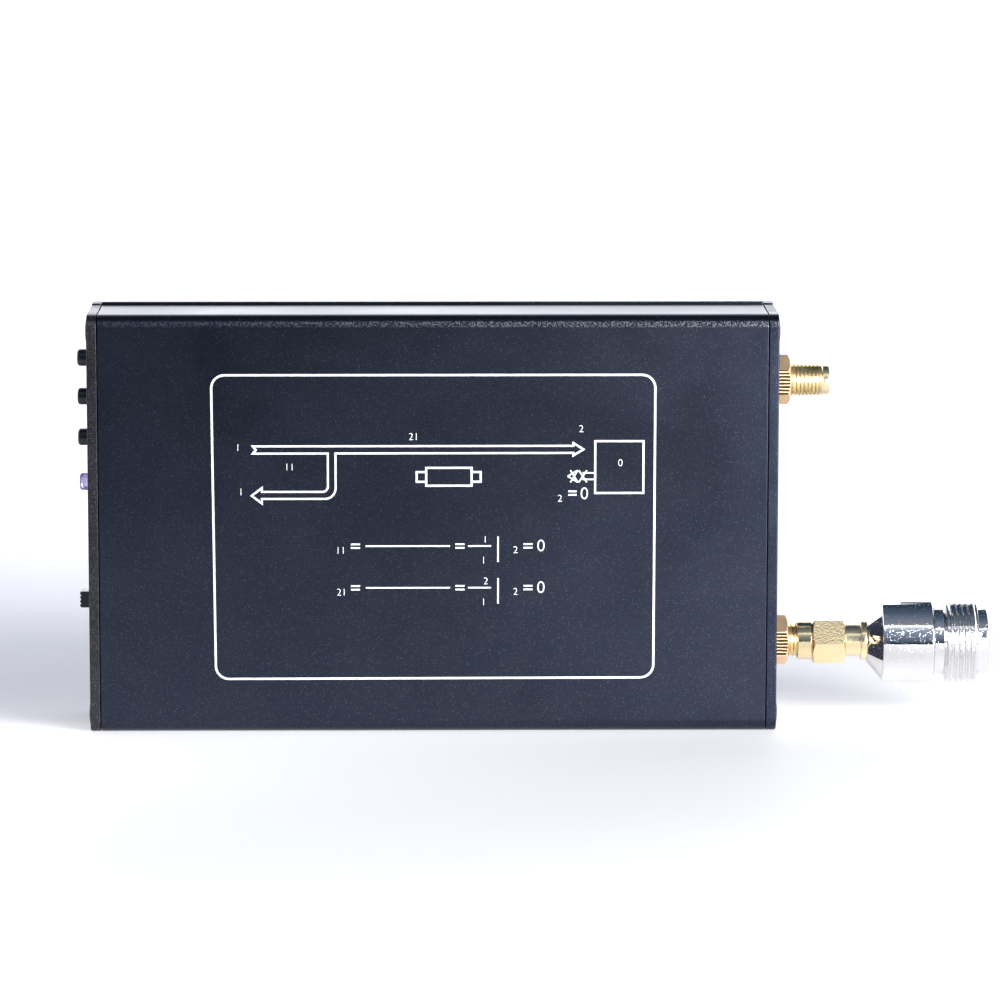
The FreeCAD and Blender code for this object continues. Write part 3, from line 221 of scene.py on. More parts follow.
# %% Table
TABLE_FRONT, TABLE_BACK, TABLE_SIDE = -240.0, 4000.0, 4000.0
bpy.ops.mesh.primitive_plane_add(size=1)
table = bpy.context.active_object
table.name = "table"
table.scale = metres((2 * TABLE_SIDE, TABLE_BACK - TABLE_FRONT, 1 / MM))
table.location = metres((0, (TABLE_FRONT + TABLE_BACK) / 2, 0))
bpy.ops.object.transform_apply(location=True, rotation=True, scale=True)

table_finish = open_material(bpy.data.materials.new("pale_table"))
path = new_node("LightPath").outputs
to_eye = calculated("MAXIMUM", path["Is Camera Ray"], path["Is Glossy Ray"])
to_eye = calculated("MAXIMUM", to_eye, path["Is Transmission Ray"])
place = separated(object_place())
GLOW_FROM, GLOW_TO = -240.0, 400.0
# Glow by depth: raised just in front of the box as painted light, lowered behind it as painted
# shadow.
GLOW_WITH_PAINTED_SHADE = [
    (-240, (0.15, 0.15, 0.17)), (-110, (0.25, 0.25, 0.28)), (-60, (0.42, 0.42, 0.44)),
    (-34, (0.50, 0.49, 0.51)), (-16, (0.53, 0.52, 0.54)), (-9, (0.44, 0.43, 0.45)),
    (2, (0.19, 0.185, 0.20)), (20, (0.13, 0.125, 0.145)), (40, (0.11, 0.105, 0.125)),
    (81, (0.15, 0.15, 0.17)), (127, (0.32, 0.31, 0.35)), (191, (0.44, 0.44, 0.47)),
    (345, (0.65, 0.65, 0.66)),
]
GLOW_WITH_PAINTED_SHADE = [((y - GLOW_FROM) / (GLOW_TO - GLOW_FROM), colour) for y, colour in GLOW_WITH_PAINTED_SHADE]
depth = stepped(place["Y"], GLOW_FROM * MM, GLOW_TO * MM, kind="LINEAR")
in_front = stepped(place["Y"], 20 * MM, -30 * MM)
to_right = stepped(place["X"], -60 * MM, 80 * MM)
weaker = inverted(product(in_front, to_right, 0.75))
set_shader(
    Base_Color=(0.80, 0.80, 0.81), Roughness=0.6, Specular_IOR_Level=0.1,
    Emission_Color=ramp(depth, GLOW_WITH_PAINTED_SHADE), Emission_Strength=product(to_eye, weaker),
)
table.data.materials.append(table_finish)


# %% Lamps
def lamp(name, place, size, watts, colour=(1, 1, 1)):
    """An area lamp at a place in millimetres that faces the box."""
    data = bpy.data.lights.new(name, "AREA")
    data.shape = "RECTANGLE"
    data.size, data.size_y = metres(size)
    data.energy = watts
    data.color = colour
    light = bpy.data.objects.new(name, data)
    bpy.context.scene.collection.objects.link(light)
    light.location = metres(place)
    aim = metres((10, 0, 35)) - light.location
    light.rotation_euler = aim.to_track_quat("-Z", "Y").to_euler()


lamp("key_lamp", (420, -380, 160), (250, 250), 4.9, (1.0, 0.985, 0.96))
lamp("low_lamp", (300, -420, 60), (200, 120), 2.2)

# %% [markdown]
# ## Working in edit mode from code
#
# Every piece is made as by hand: something simple is added, then faces and edges are selected and
# extruded, spun or bevelled. A person clicks on them; here `choose` selects them by their place.
# Operators act on all that is selected, so each helper starts by selecting nothing.


# %% Selecting
def work_on(piece):
    bpy.ops.object.select_all(action="DESELECT")
    piece.select_set(True)
    bpy.context.view_layer.objects.active = piece


def settle(piece):
    """Puts a piece's place, turn and scale into its mesh."""
    work_on(piece)
    bpy.ops.object.transform_apply(location=True, rotation=True, scale=True)


@contextmanager
def editing(piece):
    """Edit mode on one piece, with nothing selected at the start."""
    work_on(piece)
    bpy.ops.object.mode_set(mode="EDIT")
    bpy.ops.mesh.select_all(action="DESELECT")
    yield
    bpy.ops.object.mode_set(mode="OBJECT")


def choose(piece, kind, test):
    """In edit mode, select the parts whose corners (in millimetres) all pass the test."""
    bpy.ops.mesh.select_mode(type=kind)
    bpy.ops.mesh.select_all(action="DESELECT")
    mesh = bmesh.from_edit_mesh(piece.data)
    for part in {"VERT": mesh.verts, "EDGE": mesh.edges, "FACE": mesh.faces}[kind]:
        corners = [part] if kind == "VERT" else part.verts
        if all(test(*(corner.co / MM)) for corner in corners):
            part.select_set(True)
    bmesh.update_edit_mesh(piece.data)


def near(spots):
    """A test for the corners that lie on one of some points."""
    return lambda *corner: any((Vector(corner) - Vector(spot)).length < 0.02 for spot in spots)


def select_everything():
    bpy.ops.mesh.select_all(action="SELECT")


def merge_close(distance=0.001):
    """Merges the corners that are closer than a distance in millimetres."""
    select_everything()
    bpy.ops.mesh.remove_doubles(threshold=distance * MM)


def face_outwards():
    select_everything()
    bpy.ops.mesh.normals_make_consistent(inside=False)


# %% [markdown]
# ## Three ways to make a shape
#
# Most parts of this object are made by extrusion or on a lathe, and the mesh is made in the same
# way. `traced` draws an outline: a plane is merged to one corner, and that corner is extruded from
# point to point. `extruded` fills the outline and pulls it out. `turned` spins it about a line
# along X, which is the lower port's axis unless another is given.


# %% Outlines, extruded and turned shapes
def pull(move):
    """Extrudes what is selected along a move in metres."""
    bpy.ops.mesh.extrude_region_move(TRANSFORM_OT_translate={"value": move})


def traced(name, points, loop=False):
    """A line of edges through points in millimetres, closed if it is a loop."""
    bpy.ops.mesh.primitive_plane_add(size=MM)
    piece = bpy.context.active_object
    piece.name = piece.data.name = name
    points = [metres(point) for point in points]
    with editing(piece):
        bpy.ops.mesh.select_mode(type="VERT")
        select_everything()
        bpy.ops.mesh.merge(type="CENTER")
        bpy.ops.transform.translate(value=points[0])
        for last, point in zip(points, points[1:]):
            pull(point - last)
        if loop:
            mesh = bmesh.from_edit_mesh(piece.data)
            mesh.verts.ensure_lookup_table()
            bpy.ops.mesh.select_all(action="DESELECT")
            mesh.verts[0].select_set(True)
            mesh.verts[len(points) - 1].select_set(True)
            bmesh.update_edit_mesh(piece.data)
            bpy.ops.mesh.edge_face_add()
            select_everything()
            bpy.ops.mesh.delete(type="ONLY_FACE")
    return piece


def extruded(name, outline, move, rounds=(), line=None):
    """Fills a closed outline and pulls it along a move; rounds are (corners, radius, steps).

    With a line width, only a line along the inside of the outline is kept."""
    piece = traced(name, outline, loop=True)
    with editing(piece):
        select_everything()
        bpy.ops.mesh.edge_face_add()
        for corners, radius, steps in rounds:
            choose(piece, "VERT", near(corners))
            bpy.ops.mesh.bevel(offset=radius * MM, segments=steps, affect="VERTICES")
        bpy.ops.mesh.select_mode(type="FACE")
        select_everything()
        if line:
            bpy.ops.mesh.inset(thickness=line * MM, use_even_offset=True)
            bpy.ops.mesh.delete(type="FACE")
            select_everything()
        pull(metres(move))
        face_outwards()
    return piece


def turned(name, profile, axis=LOWER, loop=False, steps=96):
    """Spins a profile of (x, radius) about the line through axis = (y, z)."""
    y, z = axis
    piece = traced(name, [(x, y, z + radius) for x, radius in profile], loop)
    with editing(piece):
        select_everything()
        centre = metres((0, y, z))
        bpy.ops.mesh.spin(steps=steps, angle=2 * pi, center=centre, axis=(1, 0, 0))
        merge_close(0.0005)
        face_outwards()
    return piece


# %% [markdown]
# Some outlines come back often: a rectangle, an arc, a plus sign, and the profile of a plain rod.
# They are lists of flat points, and `at_x` and `at_y` stand them up in space.


# %% Outlines that come back
def at_x(x, outline, centre=(0, 0)):
    """Points of (y, z) about a centre, in the plane at x."""
    return [(x, centre[0] + y, centre[1] + z) for y, z in outline]


def at_y(y, outline, centre=(0, 0)):
    """Points of (x, z) about a centre, in the plane at y."""
    return [(centre[0] + x, y, centre[1] + z) for x, z in outline]


def rectangle(left, low, right, high):
    return [(left, low), (right, low), (right, high), (left, high)]


def rod(first, last, radius):
    return [(first, 0), (first, radius), (last, radius), (last, 0)]


def arc(x, y, radius, first, last, steps=6):
    """Points round (x, y) from one angle to another, in degrees."""
    turns = [radians(first + (last - first) * step / steps) for step in range(steps + 1)]
    return [(x + radius * cos(turn), y + radius * sin(turn)) for turn in turns]


def plus_sign(reach, half):
    corners = [(-reach, -half), (-half, -half), (-half, -reach)]
    corners += [(-y, z) for y, z in reversed(corners)]
    return corners + [(-y, -z) for y, z in corners]


# %% [markdown]
# Holes, flats and joined parts are booleans: the cutters are made like any other shape, used, and
# deleted. Real edges are never sharp, and the thin line of light on an edge is what makes a small
# metal part look real, so `softened` bevels every edge a little and keeps the flat faces flat.


# %% Cutting, joining and softening
def joined(pieces):
    work_on(pieces[0])
    for piece in pieces[1:]:
        piece.select_set(True)
    if len(pieces) > 1:
        bpy.ops.object.join()
    return bpy.context.active_object


def applied(piece, kind, **settings):
    """Adds a modifier with its settings and applies it."""
    work_on(piece)
    modifier = piece.modifiers.new(kind.lower(), kind)
    for setting, value in settings.items():
        setattr(modifier, setting, value)
    bpy.ops.object.modifier_apply(modifier=modifier.name)


def combined(piece, others, operation):
    """One boolean with other pieces, which don't touch each other."""
    other = joined(others)
    applied(piece, "BOOLEAN", operation=operation, object=other, solver="EXACT")
    bpy.data.objects.remove(other)
    with editing(piece):
        merge_close()
        bpy.ops.mesh.dissolve_degenerate(threshold=0.001 * MM)
    return piece


def softened(piece, width, angle=32, segments=2):
    """Rounds the edges that turn by more than an angle, and keeps flat faces flat."""
    applied(
        piece, "BEVEL", width=width * MM, segments=segments, limit_method="ANGLE",
        angle_limit=radians(angle), use_clamp_overlap=False, miter_outer="MITER_ARC",
    )
    work_on(piece)
    bpy.ops.object.shade_smooth_by_angle(angle=radians(50))
    applied(piece, "WEIGHTED_NORMAL", keep_sharp=True, weight=100)
    return piece


def copied(piece, name, move=(0, 0, 0), half_turn=False):
    """A copy with its own mesh, moved, and turned half round the vertical if asked."""
    work_on(piece)
    bpy.ops.object.duplicate(linked=False)
    copy = bpy.context.active_object
    copy.name = copy.data.name = name
    if half_turn:
        bpy.ops.transform.rotate(value=pi, orient_axis="Z", center_override=(0, 0, 0))
    bpy.ops.transform.translate(value=metres(move))
    settle(copy)
    return copy


def finished(piece, body, material, node=None):
    """Sets a piece's place into its mesh and gives it its finish, body and slot."""
    settle(piece)
    piece.data.materials.clear()
    piece.data.materials.append(material)
    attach(piece, body)
    if node:
        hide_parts(node)
    size = piece.dimensions / MM
    print("%s: %d faces, %.1f x %.1f x %.1f mm" % (piece.name, len(piece.data.polygons), *size))


def softened_copy(name, node, width, material, segments=2):
    """A finished copy of a CAD node, whose own mesh is loose triangles with sharp edges."""
    copy = copied(bpy.data.objects[node], name)
    copy.parent = None
    for key in list(copy.keys()):
        del copy[key]
    with editing(copy):
        merge_close()
        bpy.ops.mesh.dissolve_limited(angle_limit=radians(0.5))
        face_outwards()
    finished(softened(copy, width, segments=segments), "case", material, node)


# %% [markdown]
# ## Shared effects
#
# Six effects appear on the finishes, so each is a node group that is built once: the grain of a
# blasted or moulded surface, the fine rings that a lathe leaves, a milling cutter's ripples with
# stripes of painted shade, a painted highlight on rounded edges, the traces of handling, and the
# wear on edges. A group gives out only masks and heights; every material adds its own values.


# %% Group helpers
def effect(name, **inputs):
    """Opens a new node group with a Vector and some numbers; gives its tree and its inputs."""
    global tree
    tree = bpy.data.node_groups.new(name, "ShaderNodeTree")
    tree.interface.new_socket("Vector", in_out="INPUT", socket_type="NodeSocketVector")
    for socket, value in inputs.items():
        made = tree.interface.new_socket(socket, in_out="INPUT", socket_type="NodeSocketFloat")
        made.default_value = value
    return tree, tree.nodes.new("NodeGroupInput").outputs


def give(**outputs):
    """Adds the outputs of the open group and links them."""
    for name in outputs:
        tree.interface.new_socket(name, in_out="OUTPUT", socket_type="NodeSocketFloat")
    set_up(tree.nodes.new("NodeGroupOutput"), outputs)


def in_cells(vector, size_mm):
    """The vector scaled so that one unit is a size in millimetres."""
    scale = calculated("DIVIDE", 1 / MM, size_mm)
    return new_node("VectorMath", vector, operation="SCALE", Scale=scale).outputs[0]


def texture(kind, vector, **settings):
    return new_node("Tex" + kind, **settings, Vector=vector).outputs


def drawn(cells, share, channel=0):
    """1 in a share of the cells of a Voronoi texture, drawn by their random colour."""
    number = new_node("SeparateColor", cells["Color"]).outputs[channel]
    return calculated("GREATER_THAN", number, inverted(share))


# %% [markdown]
# Grain is fine noise. Its height goes to the bump, a slow noise gives cloudy mottling, and cells of
# a Voronoi pattern that happen to have a high random value become glints: single grains painted
# bright, a painted highlight for grains that catch the light.

# %% Grain
grain, given = effect("grain", Size=0.3, Share=0.06)
fine = in_cells(given["Vector"], given["Size"])
bumps = texture("Noise", fine, Scale=1.0, Detail=3.0, Roughness=0.6)["Fac"]
cells = texture("Voronoi", fine, Scale=0.9)
slow = texture("Noise", given["Vector"], Scale=120.0, Detail=4.0)["Fac"]
middles = calculated("LESS_THAN", cells["Distance"], 0.45)
give(
    Height=bumps, Glints=product(drawn(cells, given["Share"]), middles),
    Mottle=stepped(slow, 0.35, 0.65), Fine=stepped(bumps, 0.35, 0.65),
)

# %% [markdown]
# A lathe leaves rings. On the side of a part they follow X, and on an end face they follow the
# distance from the axis. A noise with one dimension on the sum of the two marks both alike.

# %% Turned marks
rings, given = effect("turned_marks", Pitch=0.08, Y=LOWER[0] * MM, Z=LOWER[1] * MM)
place = separated(given["Vector"])
squares = []
for axis in "YZ":
    off_axis = calculated("SUBTRACT", place[axis], given[axis])
    squares.append(product(off_axis, off_axis))
from_axis = calculated("SQRT", calculated("ADD", *squares))
reach = calculated("ADD", from_axis, place["X"])
turn = calculated("DIVIDE", reach, product(given["Pitch"], MM))
marks = new_node("TexNoise", noise_dimensions="1D", W=turn, Scale=1.0, Detail=2.0)
give(Height=marks.outputs["Fac"])

# %% [markdown]
# A milling cutter that crosses a flat leaves even ripples. On the panel nuts they run across the
# flats that face the front and the back, so the group masks them with the surface's own normal.
# Over most of each ripple a mask marks stripes of painted shade, for the dark stripes that the
# ripples show in the light.

# %% Milling ripples
milling, given = effect("milling_ripples", Pitch=0.62)
height = separated(given["Vector"])["Z"]
waviness = texture("Noise", given["Vector"], Scale=900.0, Detail=2.0)["Fac"]
phase = calculated("DIVIDE", height, product(given["Pitch"], MM))
phase = calculated("ADD", phase, product(waviness, 0.35))
wave = calculated("SINE", product(phase, 2 * pi))
facing = separated(surface_normal())["Y"]
flat = stepped(calculated("ABSOLUTE", facing), 0.93, 0.97)
stripe_shade = product(stepped(wave, -0.85, -0.35), flat)
give(Height=product(wave, flat), Groove=stripe_shade)

# %% [markdown]
# Along rounded edges the finish gets a painted highlight. Surfaces that look half up and half
# forward are found by their normal, and fine cells with a high value are painted bright there. The
# painted highlight is stronger towards the right, where the lamps are.

# %% Painted edge highlight
edge_highlight, given = effect("painted_edge_highlight", Size=0.16, Share=0.35)
up = separated(surface_normal())["Z"]
leaning = product(stepped(up, 0.04, 0.22), inverted(stepped(up, 0.48, 0.62)))
fine = in_cells(given["Vector"], given["Size"])
highlight_cells = drawn(texture("Voronoi", fine, Scale=1.0), given["Share"])
lit = stepped(separated(given["Vector"])["X"], -75 * MM, 45 * MM)
lit = calculated("ADD", product(lit, 0.85), 0.15)
give(Mask=product(highlight_cells, lit, leaning))

# %% [markdown]
# Handling leaves soft smudges that change the gloss, fine hairlines, and dust that lies on what
# faces up. The hairlines are the thin edges between large cells, broken up by noise.

# %% Handling
handling, given = effect("handling", Size=6.0)
wide = in_cells(given["Vector"], given["Size"])
smudge = texture("Noise", wide, Scale=1.0, Detail=5.0, Distortion=0.6)["Fac"]
warp = texture("Noise", wide, Scale=3.0, Detail=2.0)["Fac"]
lines = texture("Voronoi", wide, feature="DISTANCE_TO_EDGE", Scale=2.2)["Distance"]
thin = inverted(stepped(lines, 0.0, 0.02))
specks = texture("Voronoi", given["Vector"], Scale=2600.0)
small = calculated("LESS_THAN", specks["Distance"], 0.3)
few = drawn(specks, 0.015, channel=1)
up = stepped(separated(surface_normal())["Z"], -0.2, 0.9)
give(
    Smudge=stepped(smudge, 0.3, 0.7), Dust=product(few, small, up),
    Hairlines=product(thin, stepped(warp, 0.5, 0.62)),
)

# %% [markdown]
# Edges are found by the Bevel node: it gives the normal that a rounded edge would have, and where
# that differs from the surface's own normal there is an edge. Noise breaks the line up, because
# real wear is never even.

# %% Edge wear
wear, given = effect("edge_wear", Radius=0.25, Patch=1.5)
rounded = new_node("Bevel", samples=4, Radius=product(given["Radius"], MM))
normals = rounded.outputs["Normal"], surface_normal()
likeness = new_node("VectorMath", *normals, operation="DOT_PRODUCT").outputs["Value"]
patches = in_cells(given["Vector"], given["Patch"])
patches = texture("Noise", patches, Scale=1.0, Detail=4.0)["Fac"]
edge = stepped(inverted(likeness), 0.02, 0.2)
give(Mask=product(edge, stepped(patches, 0.42, 0.62)))
print("groups:", [tree.name for tree in bpy.data.node_groups])

# %% [markdown]
# ## Finishes
#
# `surface` builds one material from these effects: two close colours mixed by the mottling, painted
# glints, a painted edge highlight and worn edges over them, stripes of painted shade over milling
# ripples, a roughness between two values that follows the smudges, and a bump from the grain and
# the rings. What is the same all over, such as a coat, is set on the shader itself.

# %% One material
# The colour of the painted highlight on rounded edges, and the colour of dust.
PAINTED_HIGHLIGHT_COLOUR, DUST_COLOUR = (0.34, 0.35, 0.38), (0.6, 0.58, 0.55)
RIPPLE_HEIGHT = 1.5


def mixed(factor, first, second, kind="RGBA"):
    """A colour or a number between two others; each is a value or an output."""
    node = new_node("Mix", factor, data_type=kind)
    start, result = {"FLOAT": (2, 0), "RGBA": (6, 2)}[kind]
    fill(node.inputs[start], first)
    fill(node.inputs[start + 1], second)
    return node.outputs[result]


def placed(group, **values):
    """A group in a material, fed with the object's coordinates."""
    return new_node("Group", node_tree=group, Vector=object_place(), **values).outputs


def surface(
    name, colour, shade, roughness, metallic=0.0, grain_mm=0.3, speckle=0.3, bump_mm=0.01,
    bump=0.4, glints=0.0, glint=(0.5, 0.5, 0.5), glint_relief=0.0, painted_edge_highlight=0.0,
    hairlines=0.0, worn=0.0, wear_colour=(0.5, 0.5, 0.5), wear_mm=0.25, dust=0.0, smudge_mm=6.0,
    rings_mm=0.0, ring_share=0.5, axis=LOWER, ripple_mm=0.0, **settings,
):
    """A procedural finish; lengths are in millimetres, shares between 0 and 1."""
    material = open_material(bpy.data.materials.new(name))
    grains = placed(grain, Size=grain_mm, Share=glints)
    marks = placed(handling, Size=smudge_mm)
    cloudy = product(grains["Mottle"], 1 - speckle)
    tone = calculated("ADD", cloudy, product(grains["Fine"], speckle))
    look = mixed(tone, colour, shade)
    # Glints are painted highlights: a lighter colour in a few random grains.
    if glints:
        look = mixed(grains["Glints"], look, glint)
    # A painted highlight on rounded edges that lean towards the light.
    if painted_edge_highlight:
        painted_flashes = placed(edge_highlight, Share=painted_edge_highlight)["Mask"]
        look = mixed(painted_flashes, look, PAINTED_HIGHLIGHT_COLOUR)
    if hairlines:
        look = mixed(product(marks["Hairlines"], hairlines), look, glint)
    if worn:
        edges = placed(wear, Radius=wear_mm)["Mask"]
        look = mixed(product(edges, worn), look, wear_colour)
    if dust:
        look = mixed(product(marks["Dust"], dust), look, DUST_COLOUR)
    height = grains["Height"]
    if rings_mm:
        turning = placed(rings, Pitch=rings_mm, Y=axis[0] * MM, Z=axis[1] * MM)["Height"]
        height = mixed(ring_share, height, turning, "FLOAT")
    if glint_relief:
        height = calculated("ADD", height, product(grains["Glints"], glint_relief))
    if ripple_mm:
        ripples = placed(milling, Pitch=ripple_mm)
        # Stripes of painted shade over the ripples, in the dark colour that otherwise serves for
        # wear.
        look = mixed(ripples["Groove"], look, wear_colour)
        height = calculated("ADD", height, product(ripples["Height"], RIPPLE_HEIGHT))
    gloss = new_node("MapRange", marks["Smudge"], 0.0, 1.0, *roughness).outputs[0]
    relief = new_node("Bump", Strength=bump, Distance=bump_mm * MM, Height=height)
    set_shader(
        Base_Color=look, Roughness=gloss, Normal=relief.outputs["Normal"],
        Metallic=metallic, **settings,
    )
    return material


# %% [markdown]
# The shells are blasted with fine beads and dyed almost black with a blue cast. Shells and plates
# have a painted highlight on their rounded edges. The end plates are coarser and have more painted
# glints. The left one is painted a lighter warm grey than the right one, painted light for how the
# light falls on it, and its edges are worn.

# %% Case finishes
CASE_METAL = surface(
    "anodised_shell", (0.031, 0.037, 0.059), (0.042, 0.048, 0.070), (0.30, 0.36), 1.0,
    grain_mm=0.11, glints=0.045, glint=(0.15, 0.17, 0.21), speckle=0.7, bump_mm=0.004, bump=0.3,
    dust=0.4, smudge_mm=30.0, painted_edge_highlight=0.35,
)
PLATE_METAL = surface(
    "blasted_plate", (0.027, 0.033, 0.054), (0.040, 0.046, 0.070), (0.32, 0.42), 1.0,
    grain_mm=0.11, glints=0.08, glint=(0.16, 0.18, 0.22), painted_edge_highlight=0.35, speckle=0.8,
    bump=0.5, worn=0.08, wear_colour=(0.20, 0.20, 0.21), wear_mm=0.2, dust=0.5, smudge_mm=12.0,
)
# The left plate: its lighter warm grey is painted light; its edges are worn.
WORN_AND_PAINTED_LIT_PLATE = surface(
    "worn_plate", (0.036, 0.036, 0.044), (0.062, 0.059, 0.064), (0.36, 0.46), 1.0, grain_mm=0.12,
    glints=0.14, glint=(0.24, 0.24, 0.27), painted_edge_highlight=0.3, speckle=0.8, bump_mm=0.02, bump=0.6,
    worn=0.5, wear_colour=(0.26, 0.25, 0.26), wear_mm=0.2, dust=0.5, smudge_mm=12.0,
)
SCREW_STEEL = surface(
    "black_oxide_screw", (0.030, 0.029, 0.030), (0.045, 0.042, 0.042), (0.28, 0.42), 0.9,
    grain_mm=0.1, glints=0.04, glint=(0.2, 0.19, 0.18), bump_mm=0.008,
    worn=0.6, wear_colour=(0.28, 0.26, 0.24), wear_mm=0.12,
)

# %% [markdown]
# Gold is plated thinly over brass: pale, with rings on the turned parts, uneven flats on the
# coupling nut and ripples on the panel nuts. The rings need their axis, so each port has a finish
# of its own. The barrel is nickel, polished and then handled: small pits and hairlines catch light.

# %% Plated finishes
GOLD = {
    "colour": (0.95, 0.82, 0.56), "shade": (0.88, 0.72, 0.42), "metallic": 1.0,
    "wear_colour": (0.72, 0.52, 0.26), "smudge_mm": 2.5,
}
GOLD_ON = {
    port: surface(
        name, roughness=(0.16, 0.26), grain_mm=0.25, rings_mm=0.06, ring_share=0.7,
        axis=(PORT_Y, PORT_LEVELS[port]), bump_mm=0.006, bump=0.35, worn=0.3, wear_mm=0.1, **GOLD,
    )
    for port, name in (("lower", "gold_turned"), ("upper", "gold_turned_upper"))
}
GOLD_TURNED = GOLD_ON["lower"]
GOLD_MILLED = surface(
    "gold_milled", roughness=(0.08, 0.12), grain_mm=0.35, bump_mm=0.04, bump=0.55, worn=0.35,
    wear_mm=0.15, speckle=0.6, **GOLD,
)
# The panel nuts have no worn edges: their dark colour only paints stripes of shade over the
# ripples.
GOLD_RIPPLED = surface(
    "gold_rippled_nut", (0.98, 0.72, 0.47), (0.94, 0.66, 0.40), (0.46, 0.58), 1.0, bump_mm=0.02,
    bump=0.5, wear_colour=(0.06, 0.034, 0.014), ripple_mm=0.62, smudge_mm=2.5, speckle=0.6,
)
NICKEL = surface(
    "nickel_plating", (0.80, 0.79, 0.79), (0.75, 0.745, 0.75), (0.02, 0.06), 1.0, grain_mm=0.17,
    glints=0.13, glint=(0.92, 0.92, 0.92), glint_relief=13.0, rings_mm=0.05, bump_mm=0.003,
    bump=0.3, hairlines=0.2, worn=0.2, wear_colour=(0.6, 0.58, 0.54), wear_mm=0.1, smudge_mm=3.0,
)

# %% Plastics, ink and glass
INSULATOR = surface(
    "white_insulator", (0.82, 0.81, 0.77), (0.86, 0.86, 0.83), (0.4, 0.55), grain_mm=0.2,
    bump_mm=0.006, rings_mm=0.1, ring_share=0.6, Subsurface_Weight=0.1,
)
BUTTON_PLASTIC = surface(
    "button_plastic", (0.005, 0.009, 0.025), (0.009, 0.014, 0.034), (0.26, 0.38), grain_mm=0.12,
    glints=0.02, glint=(0.05, 0.05, 0.06), worn=0.5, wear_colour=(0.06, 0.06, 0.07),
    wear_mm=0.12, smudge_mm=1.5,
)
INK = surface(
    "white_ink", (0.86, 0.87, 0.88), (0.80, 0.82, 0.84), (0.45, 0.6), grain_mm=0.1,
    glints=0.05, glint=(0.6, 0.62, 0.66), bump_mm=0.006, smudge_mm=4.0,
)
GLASS = surface(
    "cover_glass", (0.96, 0.97, 0.98), (0.95, 0.96, 0.97), (0.02, 0.09), grain_mm=1.0, bump=0.0,
    smudge_mm=14.0, Transmission_Weight=1.0, IOR=1.51,
)
STEEL = surface(
    "bright_steel", (0.56, 0.56, 0.55), (0.48, 0.48, 0.48), (0.22, 0.36), 1.0, grain_mm=0.2,
    bump_mm=0.008, worn=0.3, wear_colour=(0.7, 0.7, 0.7), wear_mm=0.1, smudge_mm=2.0,
)

# %% [markdown]
# The indicator is a violet lens round a pale light guide, which has a faint painted glow. The lens
# is painted pale violet where it faces the viewer and keeps its deep violet at a grazing angle:
# painted light, standing in for how light passes through the lens. The display is dark, and a
# little darker in the border round its active area.

# %% Lens and display
LENS = surface(
    "indicator_lens", (0.10, 0.04, 0.46), (0.08, 0.03, 0.42), (0.08, 0.18), bump_mm=0.003,
    smudge_mm=1.5, Transmission_Weight=0.7, IOR=1.46,
)
# The light guide's faint glow, its emission, is painted light.
LIGHT_GUIDE = surface(
    "light_guide", (0.93, 0.93, 0.97), (0.88, 0.88, 0.94), (0.4, 0.55), grain_mm=0.2,
    bump_mm=0.004, smudge_mm=1.5, Subsurface_Weight=0.2, Emission_Strength=0.9,
)
DISPLAY = surface(
    "display_panel", (0.006, 0.006, 0.008), (0.008, 0.008, 0.011), (0.08, 0.14), grain_mm=0.08,
    bump_mm=0.002, bump=0.2, smudge_mm=20.0, Coat_Weight=0.6, Coat_Roughness=0.03,
)
PAINTED_FACING_VIOLET, BORDER_BLACK = (0.76, 0.68, 0.96), (0.004, 0.004, 0.005)
PANEL_MIDDLE, PANEL_HALF_WIDTH, PANEL_HALF_HEIGHT = 38.25, 41.6, 26.2


def base_look(material):
    """Opens a material and gives the output that its base colour comes from."""
    open_material(material)
    return tree.nodes["Principled BSDF"].inputs["Base Color"].links[0].from_socket


violet = base_look(LENS)
# Painted light: pale violet where the lens faces the viewer, its own deep violet at a grazing
# angle.
painted_grazing_share = stepped(new_node("LayerWeight").outputs["Facing"], 0.12, 0.5)
set_shader(Base_Color=mixed(painted_grazing_share, PAINTED_FACING_VIOLET, violet))

dark = base_look(DISPLAY)
place = separated(object_place())
from_middle = calculated("SUBTRACT", place["Z"], PANEL_MIDDLE * MM)
inside = [
    calculated("LESS_THAN", calculated("ABSOLUTE", offset), half * MM)
    for offset, half in ((place["X"], PANEL_HALF_WIDTH), (from_middle, PANEL_HALF_HEIGHT))
]
set_shader(Base_Color=mixed(product(*inside), BORDER_BLACK, dark))

# %% [markdown]
# The parts inside the case are seen when it is opened or shown cut. Their finishes use the same
# groups with values of their own: glass-fibre laminate, tinned sheet, moulded plastics, foam,
# shrink film and rubber.

# %% Finishes of the inner parts
BLACK_PLASTIC = surface(
    "black_plastic", (0.014, 0.014, 0.015), (0.020, 0.020, 0.022), (0.4, 0.55), grain_mm=0.15,
    worn=0.3, wear_colour=(0.05, 0.05, 0.05), wear_mm=0.1, smudge_mm=2.0,
)
WHITE_PLASTIC = surface(
    "white_plastic", (0.74, 0.73, 0.69), (0.80, 0.79, 0.76), (0.35, 0.5), grain_mm=0.15,
    bump_mm=0.008, smudge_mm=2.0,
)
LAMINATE = surface(
    "board_laminate", (0.010, 0.045, 0.085), (0.013, 0.055, 0.10), (0.25, 0.38), grain_mm=0.5,
    glints=0.03, glint=(0.03, 0.09, 0.15), bump_mm=0.012, worn=0.4, wear_colour=(0.35, 0.33, 0.2),
    wear_mm=0.12, smudge_mm=8.0, Coat_Weight=0.5, Coat_Roughness=0.15,
)
TINNED = surface(
    "tinned_sheet", (0.62, 0.62, 0.61), (0.54, 0.54, 0.54), (0.2, 0.36), 1.0, grain_mm=0.6,
    bump=0.5, worn=0.2, wear_colour=(0.4, 0.4, 0.4), wear_mm=0.1, hairlines=0.3,
)
